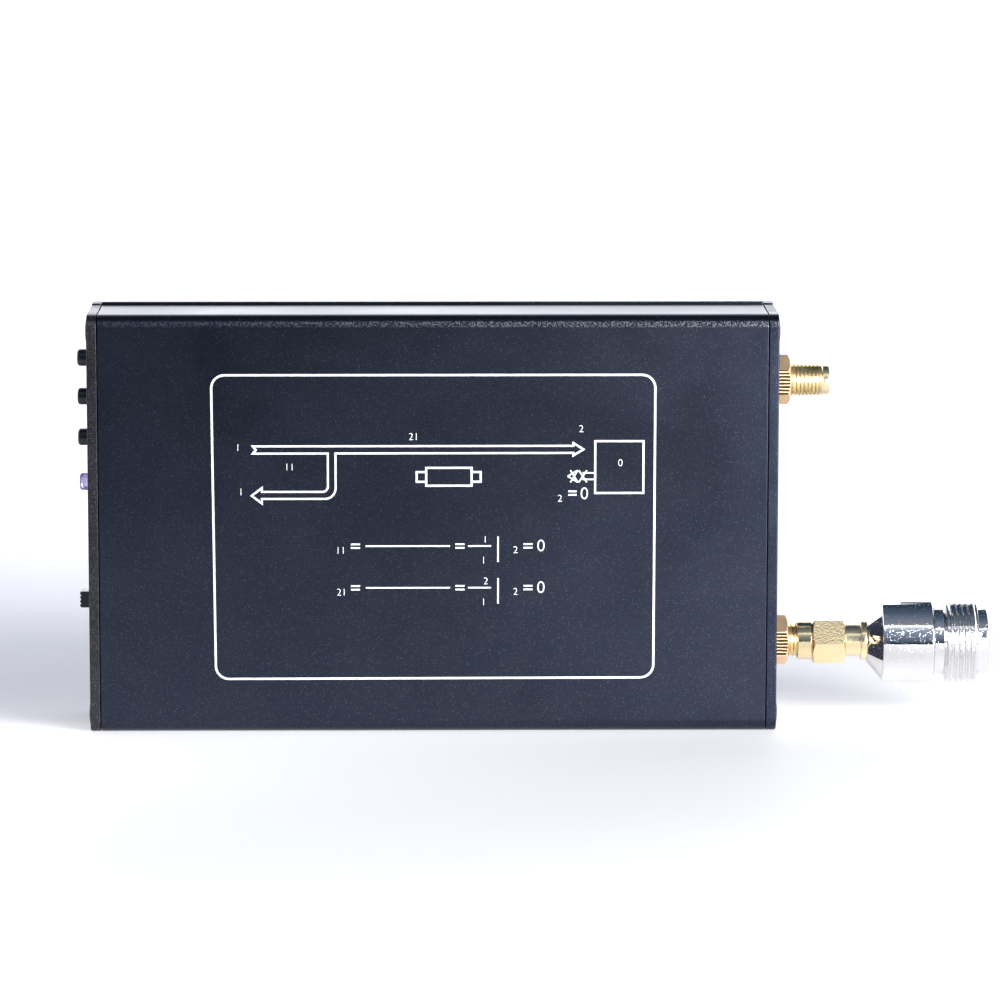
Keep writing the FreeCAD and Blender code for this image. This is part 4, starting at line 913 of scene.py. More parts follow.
BATTERY_FILM = surface(
    "battery_film", (0.42, 0.43, 0.45), (0.36, 0.37, 0.40), (0.25, 0.42), 0.8, grain_mm=2.5,
    bump_mm=0.12, bump=0.5, smudge_mm=9.0,
)
FOAM = surface(
    "black_foam", (0.022, 0.022, 0.023), (0.032, 0.032, 0.034), (0.85, 0.95), grain_mm=0.35,
    glints=0.1, glint=(0.05, 0.05, 0.05), bump_mm=0.08, bump=0.9, smudge_mm=5.0,
)
RIBBON = surface(
    "ribbon_film", (0.30, 0.12, 0.025), (0.36, 0.16, 0.035), (0.22, 0.34), grain_mm=0.4,
    smudge_mm=3.0, Coat_Weight=0.4, Coat_Roughness=0.1,
)
LEAD_JACKET = surface(
    "lead_jacket", (0.35, 0.016, 0.014), (0.42, 0.022, 0.018), (0.38, 0.5), grain_mm=0.2,
    bump_mm=0.008, smudge_mm=2.0,
)
RUBBER = surface(
    "seal_rubber", (0.30, 0.045, 0.02), (0.36, 0.06, 0.03), (0.55, 0.7), grain_mm=0.15,
    smudge_mm=2.0,
)
print("finishes:", len(bpy.data.materials))

# %% [markdown]
# ## The two shells
#
# The case is two aluminium extrusions that slide together. An extrusion has the same section all
# along, so its end outline is traced, the two outer corners are rounded, and the face is pulled out
# to its full length. The ribs that hold the board are part of the outline, as in the real die.

# %% Main sizes of the case
HALF_LENGTH, PLATE = 62.5, 1.8
SHELL_HALF = HALF_LENGTH - PLATE
SHELL_END = SHELL_HALF - 0.18
BACK, JOINT, FRONT = -11.5, 5.5, 11.5
TOP, LIP_TOP, LIP_FRONT, LIP_EDGE, WALL = 76.5, 76.75, 76.6, 77.05, 1.8
MIDDLE = TOP / 2
BOARD_REAR, BOARD_FRONT, RIB, SEAT_GAP = 2.2, 3.8, 1.0, 0.05
SCREW_SPOTS = [(y, z) for y in (-8.3, 8.3) for z in (3.2, 73.3)]


def edge_rounds(x, corners):
    """The rounding of the case's long edges, for the corners of an outline at x."""
    return [(at_x(x, [corner]), 2.4, 10) for corner in corners]


def shell(name, section, rounded, spots):
    """An extrusion with round channels for the plate screws and pilot holes in them."""
    rounds = edge_rounds(-SHELL_END, rounded)
    piece = extruded(name, at_x(-SHELL_END, section), (2 * SHELL_END, 0, 0), rounds)
    for radius, reach, operation in (
        (2.4, SHELL_END, "UNION"),
        (1.05, SHELL_END + 1, "DIFFERENCE"),
    ):
        rods = [turned("channel", rod(-reach, reach, radius), spot, steps=40) for spot in spots]
        combined(piece, rods, operation)
    return piece


# %% Rear shell
rib_front = BOARD_REAR - SEAT_GAP
rib_back = rib_front - RIB
rib_tip = WALL + 1.4
lower_half = [(JOINT, 0), (JOINT, WALL), (rib_front, WALL), (rib_front, rib_tip)]
lower_half += [(rib_back, rib_tip), (rib_back, WALL), (BACK + WALL, WALL)]
upper_half = [(y, TOP - z) for y, z in reversed(lower_half)]
section = [(BACK, 0), *lower_half, *upper_half, (BACK, TOP)]
case_rear = shell("case_rear", section, [(BACK, 0), (BACK, TOP)], SCREW_SPOTS[:2])
finished(softened(case_rear, 0.12), "case", CASE_METAL, "rear_shell")

# %% [markdown]
# The front shell is shallower. Its tongues reach past the joint and press on the board, and its
# wall has the window for the display. The window's outer rim gets a wide bevel, as a milling
# cutter leaves it.

# %% Front shell
tongue_end, wall_inside = BOARD_FRONT + SEAT_GAP, FRONT - WALL
tongue = [(JOINT, 1.9), (tongue_end, 1.9), (tongue_end, 2.9), (wall_inside, 2.9)]
section = [(JOINT, 0), (FRONT, 0), (FRONT, LIP_FRONT), (JOINT, LIP_EDGE)]
section += [(y, TOP - z) for y, z in tongue] + tongue[::-1]
case_front = shell("case_front", section, [(FRONT, 0), (FRONT, LIP_FRONT)], SCREW_SPOTS[2:])
WINDOW_X, WINDOW_Z = 43.0, 29.0
opening = rectangle(-WINDOW_X, MIDDLE - WINDOW_Z, WINDOW_X, MIDDLE + WINDOW_Z)
opening = at_y(FRONT - 2.5, opening)
window = extruded("window", opening, (0, 4, 0), rounds=[(opening, 1.2, 6)])
combined(case_front, [window], "DIFFERENCE")


def on_rim(x, y, z):
    in_window = abs(x) < WINDOW_X + 0.1 and abs(z - MIDDLE) < WINDOW_Z + 0.1
    return in_window and abs(y - FRONT) < 0.01


with editing(case_front):
    choose(case_front, "EDGE", on_rim)
    bpy.ops.mesh.bevel(offset=0.5 * MM, segments=3, affect="EDGES")
finished(softened(case_front, 0.12), "case", CASE_METAL, "front_shell")

# %% [markdown]
# ## End plates
#
# Two flat plates close the ends. Each is the outline of both shells, 1.8 mm thick, with a small
# chamfer round its outer face. The holes are cut with shapes of the parts that pass through, a
# little larger, and the countersinks with a turned cone.

# %% Plates
BUTTON_LEVELS = {"top": 67.5, "middle": 60.4, "bottom": 52.9}
BUTTON_Y, LED_Y, LED_Z = 0.05, 0.35, 44.6
CHARGE_Y, CHARGE_Z = 0.57, 33.4
SWITCH_Y, SWITCH_Z, SWITCH_TRAVEL = 0.3, 22.9, 2.0
SINK = [(2.5, 0), (2.5, 1.4), (0.95, 1.4), (0, 2.35), (-0.5, 2.35), (-0.5, 0)]


def blank_plate(name, side):
    """A chamfered plate with four countersunk holes; side is -1 on the left."""
    inner, outer = side * SHELL_HALF, side * HALF_LENGTH
    outline = [(BACK, 0), (FRONT, 0), (FRONT, LIP_TOP), (JOINT, LIP_TOP), (JOINT, TOP), (BACK, TOP)]
    rounds = edge_rounds(inner, [*outline[:3], outline[-1]])
    plate = extruded(name, at_x(inner, outline), (outer - inner, 0, 0), rounds)
    with editing(plate):
        choose(plate, "EDGE", lambda x, y, z: abs(x - outer) < 0.01)
        bpy.ops.mesh.bevel(offset=0.15 * MM, segments=1, affect="EDGES")
    profile = [(outer - side * x, radius) for x, radius in SINK]
    sinks = [turned("sink", profile, spot, steps=48) for spot in SCREW_SPOTS]
    return combined(plate, sinks, "DIFFERENCE")


def round_hole(radius, spot, x):
    return turned("hole", rod(x - 3, x + 3, radius), spot, steps=48)


# %% Left end plate
plate_left = blank_plate("plate_left", -1)
holes = [round_hole(1.7, (BUTTON_Y, z), -HALF_LENGTH) for z in BUTTON_LEVELS.values()]
holes.append(round_hole(1.68, (LED_Y, LED_Z), -HALF_LENGTH))
start = -HALF_LENGTH - 1
charging_hole = arc(CHARGE_Y, CHARGE_Z + 2.84, 1.78, 0, 180, steps=12)
charging_hole += arc(CHARGE_Y, CHARGE_Z - 2.84, 1.78, 180, 360, steps=12)
holes.append(extruded("hole", at_x(start, charging_hole), (4, 0, 0)))
slot = rectangle(-1.65, -1.65, 1.65, SWITCH_TRAVEL + 1.65)
slot = at_x(start, slot, (SWITCH_Y, SWITCH_Z))
holes.append(extruded("hole", slot, (4, 0, 0), rounds=[(slot, 0.25, 3)]))
combined(plate_left, holes, "DIFFERENCE")
finished(softened(plate_left, 0.07), "case", WORN_AND_PAINTED_LIT_PLATE, "left_end_plate")

# %% Right end plate
plate_right = blank_plate("plate_right", 1)
holes = [round_hole(3.275, (PORT_Y, PORT_LEVELS[port]), HALF_LENGTH) for port in ("upper", "lower")]
combined(plate_right, holes, "DIFFERENCE")
finished(softened(plate_right, 0.07), "case", PLATE_METAL, "right_end_plate")

# %% [markdown]
# ## Plate screws
#
# Eight black countersunk screws with a slightly crowned head hold the plates. One is turned, its
# cross recess is cut with a tapered cross, and the others are copies with meshes of their own. The
# copies on the right are turned half round the vertical rather than mirrored, so their faces
# still point outwards.

# %% One screw and its copies
face = -HALF_LENGTH
SHANK = [(9.8, 0), (9.8, 0.6), (9.2, 1.0), (1.3, 1.0)]
HEAD = [(0.04, 2.26), (-0.06, 2.27), (-0.14, 2.1), (-0.22, 1.7), (-0.28, 1.1), (-0.3, 0)]
profile = [(face + x, radius) for x, radius in SHANK + HEAD]
first_y, first_z = SCREW_SPOTS[0]
screw = turned("plate_screw", profile, (first_y, first_z), steps=48)
recess = at_x(face - 0.5, plus_sign(1.35, 0.3), (first_y, first_z))
cross = extruded("cross", recess, (1.4, 0, 0))
with editing(cross):
    choose(cross, "FACE", lambda x, y, z: x > face)
    centre = metres((face + 0.9, first_y, first_z))
    bpy.ops.transform.resize(value=(1, 0.55, 0.55), center_override=centre)
combined(screw, [cross], "DIFFERENCE")
softened(screw, 0.03, angle=25)
for number, (y, z) in enumerate(SCREW_SPOTS, 1):
    left = copied(screw, "plate_screw_left_%d" % number, (0, y - first_y, z - first_z))
    finished(left, "case", SCREW_STEEL, "left_plate_screws")
    right = copied(left, "plate_screw_right_%d" % number, half_turn=True)
    finished(right, "case", SCREW_STEEL, "right_plate_screws")
bpy.data.objects.remove(screw)

# %% [markdown]
# ## Push buttons
#
# Three small plungers stand out of the left plate. They are turned: a round tip, a shank, and a
# flange that keeps them in their housings. Each rides on its own body, because each moves.

# %% Plungers
tip = -HALF_LENGTH - 2.35
CAP_SHANK, CAP_FLANGE, CAP_END = -60.1, -59.3, -58.7
profile = [(tip, 0), (tip + 0.02, 0.6), *arc(tip + 0.55, 1.0, 0.55, 180, 90), (CAP_SHANK, 1.55)]
profile += [(CAP_FLANGE, 1.55), (CAP_FLANGE, 1.95), (CAP_END, 1.95), (CAP_END, 0)]
for which, level in BUTTON_LEVELS.items():
    plunger = softened(turned("plunger_" + which, profile, (BUTTON_Y, level), steps=64), 0.05)
    node = "button_%s_plunger" % which
    finished(plunger, which + "_button", BUTTON_PLASTIC, node)

# %% [markdown]
# ## Indicator
#
# Below the buttons a violet lens with a rounded tip shows that the device is on. Its flange sits
# behind the plate. A pale light guide fills its bore, so the lens is a tube with a closed end and
# the guide is a piece of its own. The middle is paler than the rim through the pale guide and
# through painted light: the guide's painted glow and the lens painted pale where it faces the
# viewer.

# %% Lens and light guide
tip = -HALF_LENGTH - 2.15
LENS_FLANGE, LENS_END = -60.7, -59.8
bore, bore_end = 0.95, tip + 0.6
profile = [(tip, 0), (tip + 0.03, 0.5), *arc(tip + 0.5, 1.08, 0.5, 180, 90), (LENS_FLANGE, 1.58)]
profile += [(LENS_FLANGE, 1.85), (LENS_END, 1.85), (LENS_END, bore), (bore_end + 0.2, bore)]
profile += [(bore_end, bore - 0.2), (bore_end, 0)]
lens = turned("indicator_light", profile, (LED_Y, LED_Z), steps=64)
finished(softened(lens, 0.04), "case", LENS, "indicator_lens")
rim, guide_end, guide_tip = bore - 0.02, LENS_END - 0.05, bore_end + 0.02
profile = [(guide_end, 0), (guide_end, rim), (guide_tip + 0.2, rim), (guide_tip, rim - 0.2)]
guide = turned("light_guide", [*profile, (guide_tip, 0)], (LED_Y, LED_Z), steps=64)
finished(softened(guide, 0.03), "case", LIGHT_GUIDE, "indicator_lens")

# %% [markdown]
# ## Slide switch
#
# The knob's end has a row of small ridges for a fingertip. Its outline is traced from the side and
# pulled out along Y, and it slides by 2 mm.

# %% Switch knob
tip = -HALF_LENGTH - 2.4
KNOB_END, KNOB_FOOT, KNOB_HALF = -58.5, -59.5, 1.5
outline = [(KNOB_END, -2.1), (KNOB_END, 2.1), (KNOB_FOOT, 2.1), (KNOB_FOOT, KNOB_HALF)]
for step in range(8, -1, -1):
    inward = 0.35 if step % 2 == 0 else 0
    outline.append((tip + inward, -KNOB_HALF + 0.375 * step))
outline += [(KNOB_FOOT, -KNOB_HALF), (KNOB_FOOT, -2.1)]
outline = at_y(SWITCH_Y - KNOB_HALF, outline, (0, SWITCH_Z))
knob = softened(extruded("switch_knob_ridged", outline, (0, 2 * KNOB_HALF, 0)), 0.07, angle=25)
finished(knob, "switch_knob", BUTTON_PLASTIC, "power_switch_knob")

# %% [markdown]
# ## Coaxial ports
#
# Each port is a threaded jack with a square base, clamped by a hexagon nut. Its thread is a real
# helix: a closed ridge profile goes through a Screw modifier, the ends of the ridge are cut back by
# a turned envelope with a lead-in chamfer, as a lathe does before the thread is cut, and then the
# ridge is joined to the core. Everything is made for the lower port and copied to the upper one.


# %% Threads and pairs
def threaded(piece, start, end, pitch, root, crest, envelope, steps):
    """Joins a helical ridge with 60 degree flanks, trimmed to an envelope, to a turned piece."""
    flat = pitch / 8
    foot = flat / 2 + (crest - root) * tan(radians(30))
    below = root - 0.12
    begin = start - pitch
    profile = [(begin - foot, below), (begin - foot, root), (begin - flat / 2, crest)]
    profile += [(begin + flat / 2, crest), (begin + foot, root), (begin + foot, below)]
    ridge = traced("ridge", at_y(0, profile), loop=True)
    applied(
        ridge, "SCREW", axis="X", angle=2 * pi, screw_offset=pitch * MM,
        iterations=int((end - begin) / pitch) + 2, steps=steps, render_steps=steps,
        use_merge_vertices=False,
    )
    with editing(ridge):
        select_everything()
        bpy.ops.mesh.fill_holes(sides=0)
        face_outwards()
    combined(ridge, [turned("envelope", envelope, (0, 0), steps=steps)], "INTERSECT")
    work_on(ridge)
    bpy.ops.transform.translate(value=metres((0, *LOWER)))
    settle(ridge)
    combined(piece, [ridge], "UNION")


def on_both_ports(piece, kind, finishes=GOLD_ON):
    """Finishes a piece of the lower port and its copy on the upper one."""
    copy = copied(piece, kind + "_upper", (0, 0, PORT_LEVELS["upper"] - PORT_LEVELS["lower"]))
    for port, one in (("lower", piece), ("upper", copy)):
        finished(one, "case", finishes[port], "port_%s_%s" % (port, kind))


# %% Jacks
FACE = HALF_LENGTH
NUT_FACE, COLLAR, JACK_END = FACE + 2.9, FACE + 8.9, FACE + 10.1
MATING = JACK_END - 1.95
JACK_THREAD, JACK_PITCH = 3.175, 0.7056
JACK_ROOT = JACK_THREAD - 0.6134 * JACK_PITCH
BASE_END = FACE - PLATE
BASE_REAR = BASE_END - 3.2
BASE_HALF = 3.175
profile = [(BASE_END - 0.5, 2.05), (BASE_END - 0.5, 3.0), (NUT_FACE, 3.0), (NUT_FACE, JACK_ROOT)]
profile += [(COLLAR - 0.1, JACK_ROOT), (COLLAR, 2.75), *arc(JACK_END - 0.2, 2.55, 0.2, 90, 0, 4)]
profile += [(JACK_END, 2.42), (JACK_END - 0.12, 2.3), (MATING, 2.3), (MATING, 2.05)]
jack = turned("jack_lower", profile, loop=True)
envelope = [(NUT_FACE + 0.02, 0), (NUT_FACE + 0.02, 3.17), (COLLAR - 0.42, 3.17)]
envelope += [(COLLAR - 0.02, 2.78), (COLLAR - 0.02, 0)]
threaded(jack, NUT_FACE, COLLAR, JACK_PITCH, JACK_ROOT, JACK_THREAD, envelope, steps=64)
square = rectangle(-BASE_HALF, -BASE_HALF, BASE_HALF, BASE_HALF)
base = extruded("base", at_x(BASE_REAR, square, LOWER), (BASE_END - BASE_REAR, 0, 0))
combined(base, [turned("bore", rod(BASE_REAR - 1, BASE_END + 1, 2.05))], "DIFFERENCE")
combined(jack, [base], "UNION")
legs = []
for y in (0.8, -1.5):
    for z in (-BASE_HALF, BASE_HALF - 1):
        leg = at_x(BASE_REAR + 0.1, rectangle(0, 0, 0.7, 1), (LOWER[0] + y, LOWER[1] + z))
        legs.append(extruded("leg", leg, (-3.6, 0, 0)))
combined(jack, legs, "UNION")
on_both_ports(softened(jack, 0.04), "jack")


# %% [markdown]
# A hexagon nut is turned before it is milled, and its corners keep a piece of the turned cone. So
# the hexagon is crossed with a turned envelope, which leaves the curved edges that every real nut
# has. The panel nuts and the coupling nut of the adapter are made by the same helper.


# %% Nuts and washers
def nut_body(name, first_corner, start, end, two_cones):
    """A hexagon prism, 8 mm across its flats, with a turned cone at its right end or at both."""
    width = 8.0
    corner = width / sqrt(3)
    hexagon = arc(*LOWER, corner, first_corner, first_corner + 300, steps=5)
    body = extruded(name, at_x(start, hexagon), (end - start, 0, 0))
    large, small = corner + 0.05, width / 2 - 0.1
    drop = (large - small) * tan(radians(30))
    if two_cones:
        profile = [(start, 0), (start, small), (start + drop, large)]
    else:
        profile = [(start - 0.1, 0), (start - 0.1, large)]
    profile += [(end - drop, large), (end, small), (end, 0)]
    return combined(body, [turned("envelope", profile)], "INTERSECT")


panel_nut = nut_body("nut_lower", 90, FACE + 0.5, NUT_FACE, two_cones=False)
bore = [(FACE, 0), (FACE, 3.03), (NUT_FACE - 0.3, 3.03), (NUT_FACE + 0.1, 3.4), (NUT_FACE + 0.1, 0)]
combined(panel_nut, [turned("bore", bore)], "DIFFERENCE")
softened(panel_nut, 0.05, angle=20)
profile = [(FACE + 0.2, 3.03), (FACE, 3.03), (FACE, 4.3), (FACE + 0.5, 4.3), (FACE + 0.5, 3.03)]
washer = softened(turned("washer_lower", profile, loop=True), 0.06)
on_both_ports(panel_nut, "nut", dict.fromkeys(PORT_LEVELS, GOLD_RIPPLED))
on_both_ports(washer, "washer")

# %% [markdown]
# Inside each jack a white insulator holds a sprung contact. The contact's bore is split by two
# crossing slits, so that its four fingers grip a pin.


# %% Insulators and contacts
def slit(piece, x, reach, half_slit):
    """Cuts crossing slits into a contact, from x to its right end."""
    cross = at_x(x, plus_sign(reach, half_slit), LOWER)
    combined(piece, [extruded("slits", cross, (20, 0, 0))], "DIFFERENCE")


profile = [(BASE_REAR, 0.3), (BASE_REAR, 2.05), (MATING, 2.05), (MATING, 0.635)]
profile += [(BASE_END, 0.635), (BASE_END, 0.3)]
insulator = softened(turned("insulator_lower", profile, loop=True, steps=64), 0.04)
profile = [(BASE_REAR, 0), (BASE_REAR, 0.3), (BASE_END, 0.3), (BASE_END, 0.635)]
profile += [(MATING, 0.635), (MATING, 0.52), (MATING - 0.1, 0.48), (MATING - 2.9, 0.48)]
contact = turned("contact_lower", [*profile, (MATING - 2.9, 0)], steps=48)
slit(contact, MATING - 2.2, 1, 0.07)
softened(contact, 0.02)
on_both_ports(insulator, "insulator", dict.fromkeys(PORT_LEVELS, INSULATOR))
on_both_ports(contact, "contact")

# %% [markdown]
# ## The adapter
#
# On the lower port sits an adapter: a gold coupling nut, the neck of its plug, and a nickel-plated
# barrel with a large threaded socket. The coupling nut turns on the plug, so it rides on a body of
# its own. Its round collar and its bore are turned, and a groove inside holds the retaining ring.

# %% Coupling nut
NUT_START = JACK_END - 5.5
HEX_START = NUT_START + 2.85
NUT_END = HEX_START + 6.0
THREAD_ROOM_END, GROOVE_START, GROOVE_END = FACE + 11.56, FACE + 11.85, FACE + 12.55
coupling = nut_body("coupling_nut_body", 60, HEX_START, NUT_END, two_cones=True)
profile = [(NUT_START, 0), (NUT_START, 3.45), (NUT_START + 0.15, 3.6), (HEX_START - 0.25, 3.6)]
profile += [(HEX_START - 0.1, 3.5), (HEX_START + 0.3, 3.5), (HEX_START + 0.3, 0)]
combined(coupling, [turned("collar", profile)], "UNION")
profile = [(NUT_START - 1, 0), (NUT_START - 1, 3.25), (THREAD_ROOM_END, 3.25)]
profile += [(THREAD_ROOM_END, 2.6), (GROOVE_START, 2.6), (GROOVE_START, 2.85)]
profile += [(GROOVE_END, 2.85), (GROOVE_END, 2.6), (NUT_END + 1, 2.6), (NUT_END + 1, 0)]
combined(coupling, [turned("bore", profile)], "DIFFERENCE")
softened(coupling, 0.06, angle=20)
finished(coupling, "coupling_nut", GOLD_MILLED, "adapter_coupling_nut")

# %% [markdown]
# The plug's outer conductor is one turned part: the thin tube that enters the port, a shoulder, the
# shank that the coupling nut turns on, and a neck with a flange against the barrel.

# %% Plug body
NECK_START, NECK_END, FLANGE_END = FACE + 13.55, FACE + 16.4, FACE + 17.55
SEAT = JACK_END + 0.3
SHOULDER_END = SEAT + 1.1
RING_START = SHOULDER_END + 0.45
RING_END = RING_START + 0.5
profile = [(MATING, 2.05), (MATING, 2.27), (SEAT, 2.27), (SEAT, 2.95), (SHOULDER_END, 2.95)]
profile += [(SHOULDER_END, 2.5), (RING_START, 2.5), (RING_START, 2.2), (RING_END, 2.2)]
profile += [(RING_END, 2.5), (NECK_START, 2.5), (NECK_START, 3.0), (NECK_END, 3.0)]
profile += [(NECK_END, 3.7), (FLANGE_END, 3.7), (FLANGE_END, 2.05)]
plug = softened(turned("plug_body", profile, loop=True), 0.08)
finished(plug, "adapter", GOLD_TURNED, "adapter_plug_body")

# %% [markdown]
# The barrel is the heaviest part: a cone, a round body with two wrench flats, a relief, the large
# thread and a plain pilot. It is turned from one profile, the flats are cut, and the helix is
# joined on.

# %% Barrel
CONE_END = FLANGE_END + 2.6
FLATS_LENGTH, FLATS_WIDTH = 3.4, 14.35
ROUND_END = CONE_END + FLATS_LENGTH + 6.15
RELIEF_END = ROUND_END + 1.8
THREAD_START = RELIEF_END + 0.6
THREAD_END = THREAD_START + 5.6
SOCKET_END = THREAD_END + 2.1
SOCKET_PLANE = SOCKET_END - 9.0
CONTACT_JOINT = FLANGE_END + 2.0
BARREL, RELIEF, PILOT, PIN_HOLE = 7.85, 6.25, 6.3, 1.455
SOCKET_THREAD, SOCKET_PITCH = 7.94, 1.058
SOCKET_ROOT = SOCKET_THREAD - 0.6134 * SOCKET_PITCH
RISE = (SOCKET_THREAD - RELIEF) / 0.6
profile = [(FLANGE_END, PIN_HOLE), (FLANGE_END, 4.0), (CONE_END, 7.17), (CONE_END, BARREL)]
profile += [(ROUND_END - 0.4, BARREL), (ROUND_END, BARREL - 0.4), (ROUND_END, RELIEF)]
profile += [(RELIEF_END, RELIEF), (RELIEF_END + (SOCKET_ROOT - RELIEF) / RISE, SOCKET_ROOT)]
profile += [(THREAD_END - 0.1, SOCKET_ROOT), (THREAD_END, SOCKET_ROOT - 0.1), (THREAD_END, PILOT)]
profile += [(SOCKET_END - 0.5, PILOT), (SOCKET_END - 0.2, PILOT - 0.15), (SOCKET_END, 5.8)]
profile += [(SOCKET_END, 4.25), (SOCKET_END - 0.2, 4.05), (SOCKET_PLANE, 4.05)]
profile += [(SOCKET_PLANE, 3.5), (CONTACT_JOINT, 3.5), (CONTACT_JOINT, PIN_HOLE)]
barrel = turned("barrel", profile, loop=True, steps=128)
flats = []
for side in (-1, 1):
    flat = at_x(CONE_END - 0.001, rectangle(-9, side * FLATS_WIDTH / 2, 9, side * 9), LOWER)
    flats.append(extruded("flat", flat, (FLATS_LENGTH, 0, 0)))
combined(barrel, flats, "DIFFERENCE")
envelope = [(RELIEF_END + 0.25, 0), (RELIEF_END + 0.25, RELIEF + RISE * 0.25)]
envelope += [(THREAD_START, SOCKET_THREAD - 0.01), (THREAD_END - 0.4, SOCKET_THREAD - 0.01)]
envelope += [(THREAD_END - 0.02, SOCKET_ROOT + 0.02), (THREAD_END - 0.02, 0)]
threaded(
    barrel, RELIEF_END, THREAD_END, SOCKET_PITCH, SOCKET_ROOT, SOCKET_THREAD, envelope, steps=96
)
finished(softened(barrel, 0.06), "adapter", NICKEL, "adapter_barrel")

# %% Socket contact and insulator
PIN_END, PIN_BORE_START = FACE + 35.55, FACE + 29.7
profile = [(CONTACT_JOINT, 0), (CONTACT_JOINT, 1.52), (PIN_END - 0.15, 1.52), (PIN_END, 1.4)]
profile += [(PIN_END, 0.95), (PIN_END - 0.15, 0.83), (PIN_BORE_START, 0.83), (PIN_BORE_START, 0)]
contact = turned("socket_contact", profile, steps=64)
slit(contact, FACE + 30.55, 2, 0.15)
finished(softened(contact, 0.03), "adapter", GOLD_TURNED, "adapter_socket_contact")
profile = [(CONTACT_JOINT, 1.52), (CONTACT_JOINT, 3.5), (SOCKET_PLANE, 3.5)]
profile += [(SOCKET_PLANE, 1.52), (CONTACT_JOINT + 5, 1.52)]
insulator = softened(turned("socket_insulator", profile, loop=True), 0.05)
finished(insulator, "adapter", INSULATOR, "adapter_socket_insulator")

# %% [markdown]
# ## Charging socket and display side
#
# The socket in the left plate is a folded metal shell with a tongue in its middle. Behind the
# window lie a foam gasket, the cover glass and the display. All of them are already right in the
# CAD model but have sharp edges, so their meshes are copied, merged and softened. The display
# itself keeps its CAD mesh. The contact pads on the tongue are thin gold strips.

# %% Softened copies and contact pads
softened_copy("charging_socket_shell", "charging_shell", 0.08, STEEL)
softened_copy("charging_socket_tongue", "charging_tongue", 0.06, BLACK_PLASTIC)
PAD_START, PAD_END, PAD_WIDTH, PAD_STEP, PAD_COUNT = -61.3, -58.2, 0.26, 0.5, 12
pads = []
low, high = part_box("charging_tongue")
for side_y, outward in ((low[1] / MM, -1), (high[1] / MM, 1)):
    for number in range(PAD_COUNT):
        z = CHARGE_Z + (number - (PAD_COUNT - 1) / 2) * PAD_STEP
        pad = rectangle(PAD_START, z - PAD_WIDTH / 2, PAD_END, z + PAD_WIDTH / 2)
        pad = at_y(side_y - outward * 0.05, pad)
        pads.append(extruded("pad", pad, (0, outward * 0.08, 0)))
pads = joined(pads)
pads.name = pads.data.name = "charging_contacts"
finished(pads, "case", GOLD_TURNED)
softened_copy("cover_glass_pane", "touch_glass", 0.15, GLASS, segments=3)
softened_copy("window_foam_gasket", "window_gasket", 0.08, FOAM)

# %% [markdown]
# ## Printing on the rear face
#
# The rear face carries a printed frame with a signal-flow drawing: a long double-line arrow with a
# branch that turns back, two boxes, and two rows of fractions. Screen-printed ink stands a little
# proud of the metal, so each line is a real strip, 0.03 mm thick. A closed outline is filled, its
# face is inset by the width of the line, the middle is deleted and the rest is extruded. The
# numerals are text that is made a mesh.

# %% Ink lines
INK_BACK, INK_RISE, INK_LINE = BACK + 0.005, 0.035, 0.37
ink = []


def ink_outline(points, rounds=(), width=INK_LINE):
    """A closed line inside an outline of (x, z) points; rounds are (corners, radius)."""
    rounds = [(at_y(INK_BACK, corners), radius, 8) for corners, radius in rounds]
    move = (0, -INK_RISE, 0)
    ink.append(extruded("ink", at_y(INK_BACK, points), move, rounds, line=width))


def ink_shape(points, rise=INK_RISE):
    """A filled shape of (x, z) points."""
    ink.append(extruded("ink", at_y(INK_BACK, points), (0, -rise, 0)))


def ink_rule(left, right, middle, thickness):
    """A horizontal bar round its middle height."""
    ink_shape(rectangle(left, middle - thickness / 2, right, middle + thickness / 2))


def ink_number(text, x, z, height):
    """A numeral with its middle at (x, z)."""
    bpy.ops.object.select_all(action="DESELECT")
    bpy.ops.object.text_add()
    text_data = bpy.context.active_object.data
    text_data.body = text
    text_data.align_x, text_data.align_y = "CENTER", "CENTER"
    text_data.size = height / 0.72 * MM
    text_data.extrude = INK_RISE / 2 * MM
    text_data.offset = -0.03 * MM
    bpy.ops.object.convert(target="MESH")
    piece = bpy.context.active_object
    with editing(piece):
        merge_close()
    piece.rotation_euler = (radians(90), 0, 0)
    piece.location = metres((x, INK_BACK - INK_RISE / 2, z))
    settle(piece)
    ink.append(piece)


# %% Frame, boxes and arrows
FRAME = [(-39.75, 9.8), (40.2, 9.95), (40.3, 65.9), (-40.25, 65.9)]
ink_outline(FRAME, rounds=[(FRAME, 2.6)], width=0.4)
ink_outline(rectangle(29.1, 43.95, 38.2, 53.8))
ink_outline(rectangle(-1.48, 45.33, 7.1, 48.96))
for box_side, cap_side, line in ((-1.481, -3.2, INK_LINE), (7.101, 8.75, -INK_LINE)):
    ink_shape(rectangle(box_side, 46.05, cap_side + line, 46.05 + INK_LINE))
    ink_shape(rectangle(box_side, 48.2 - INK_LINE, cap_side + line, 48.2))
    ink_shape(rectangle(cap_side + line, 46.05, cap_side, 48.2))
arrow = [(-33.0, 52.92), (25.15, 52.95), (25.15, 53.6), (27.5, 52.12), (25.15, 50.7)]
arrow += [(25.15, 51.3), (-17.5, 51.25), (-17.5, 42.95), (-30.85, 42.95), (-30.85, 41.95)]
arrow += [(-33.15, 43.72), (-30.85, 45.5), (-30.85, 44.6), (-19.25, 44.6), (-19.25, 51.25)]
arrow += [(-33.0, 51.25), (-32.3, 52.08)]
ink_outline(arrow, rounds=[([(-17.5, 42.95)], 2.1), ([(-19.25, 44.6)], 0.8)], width=0.36)
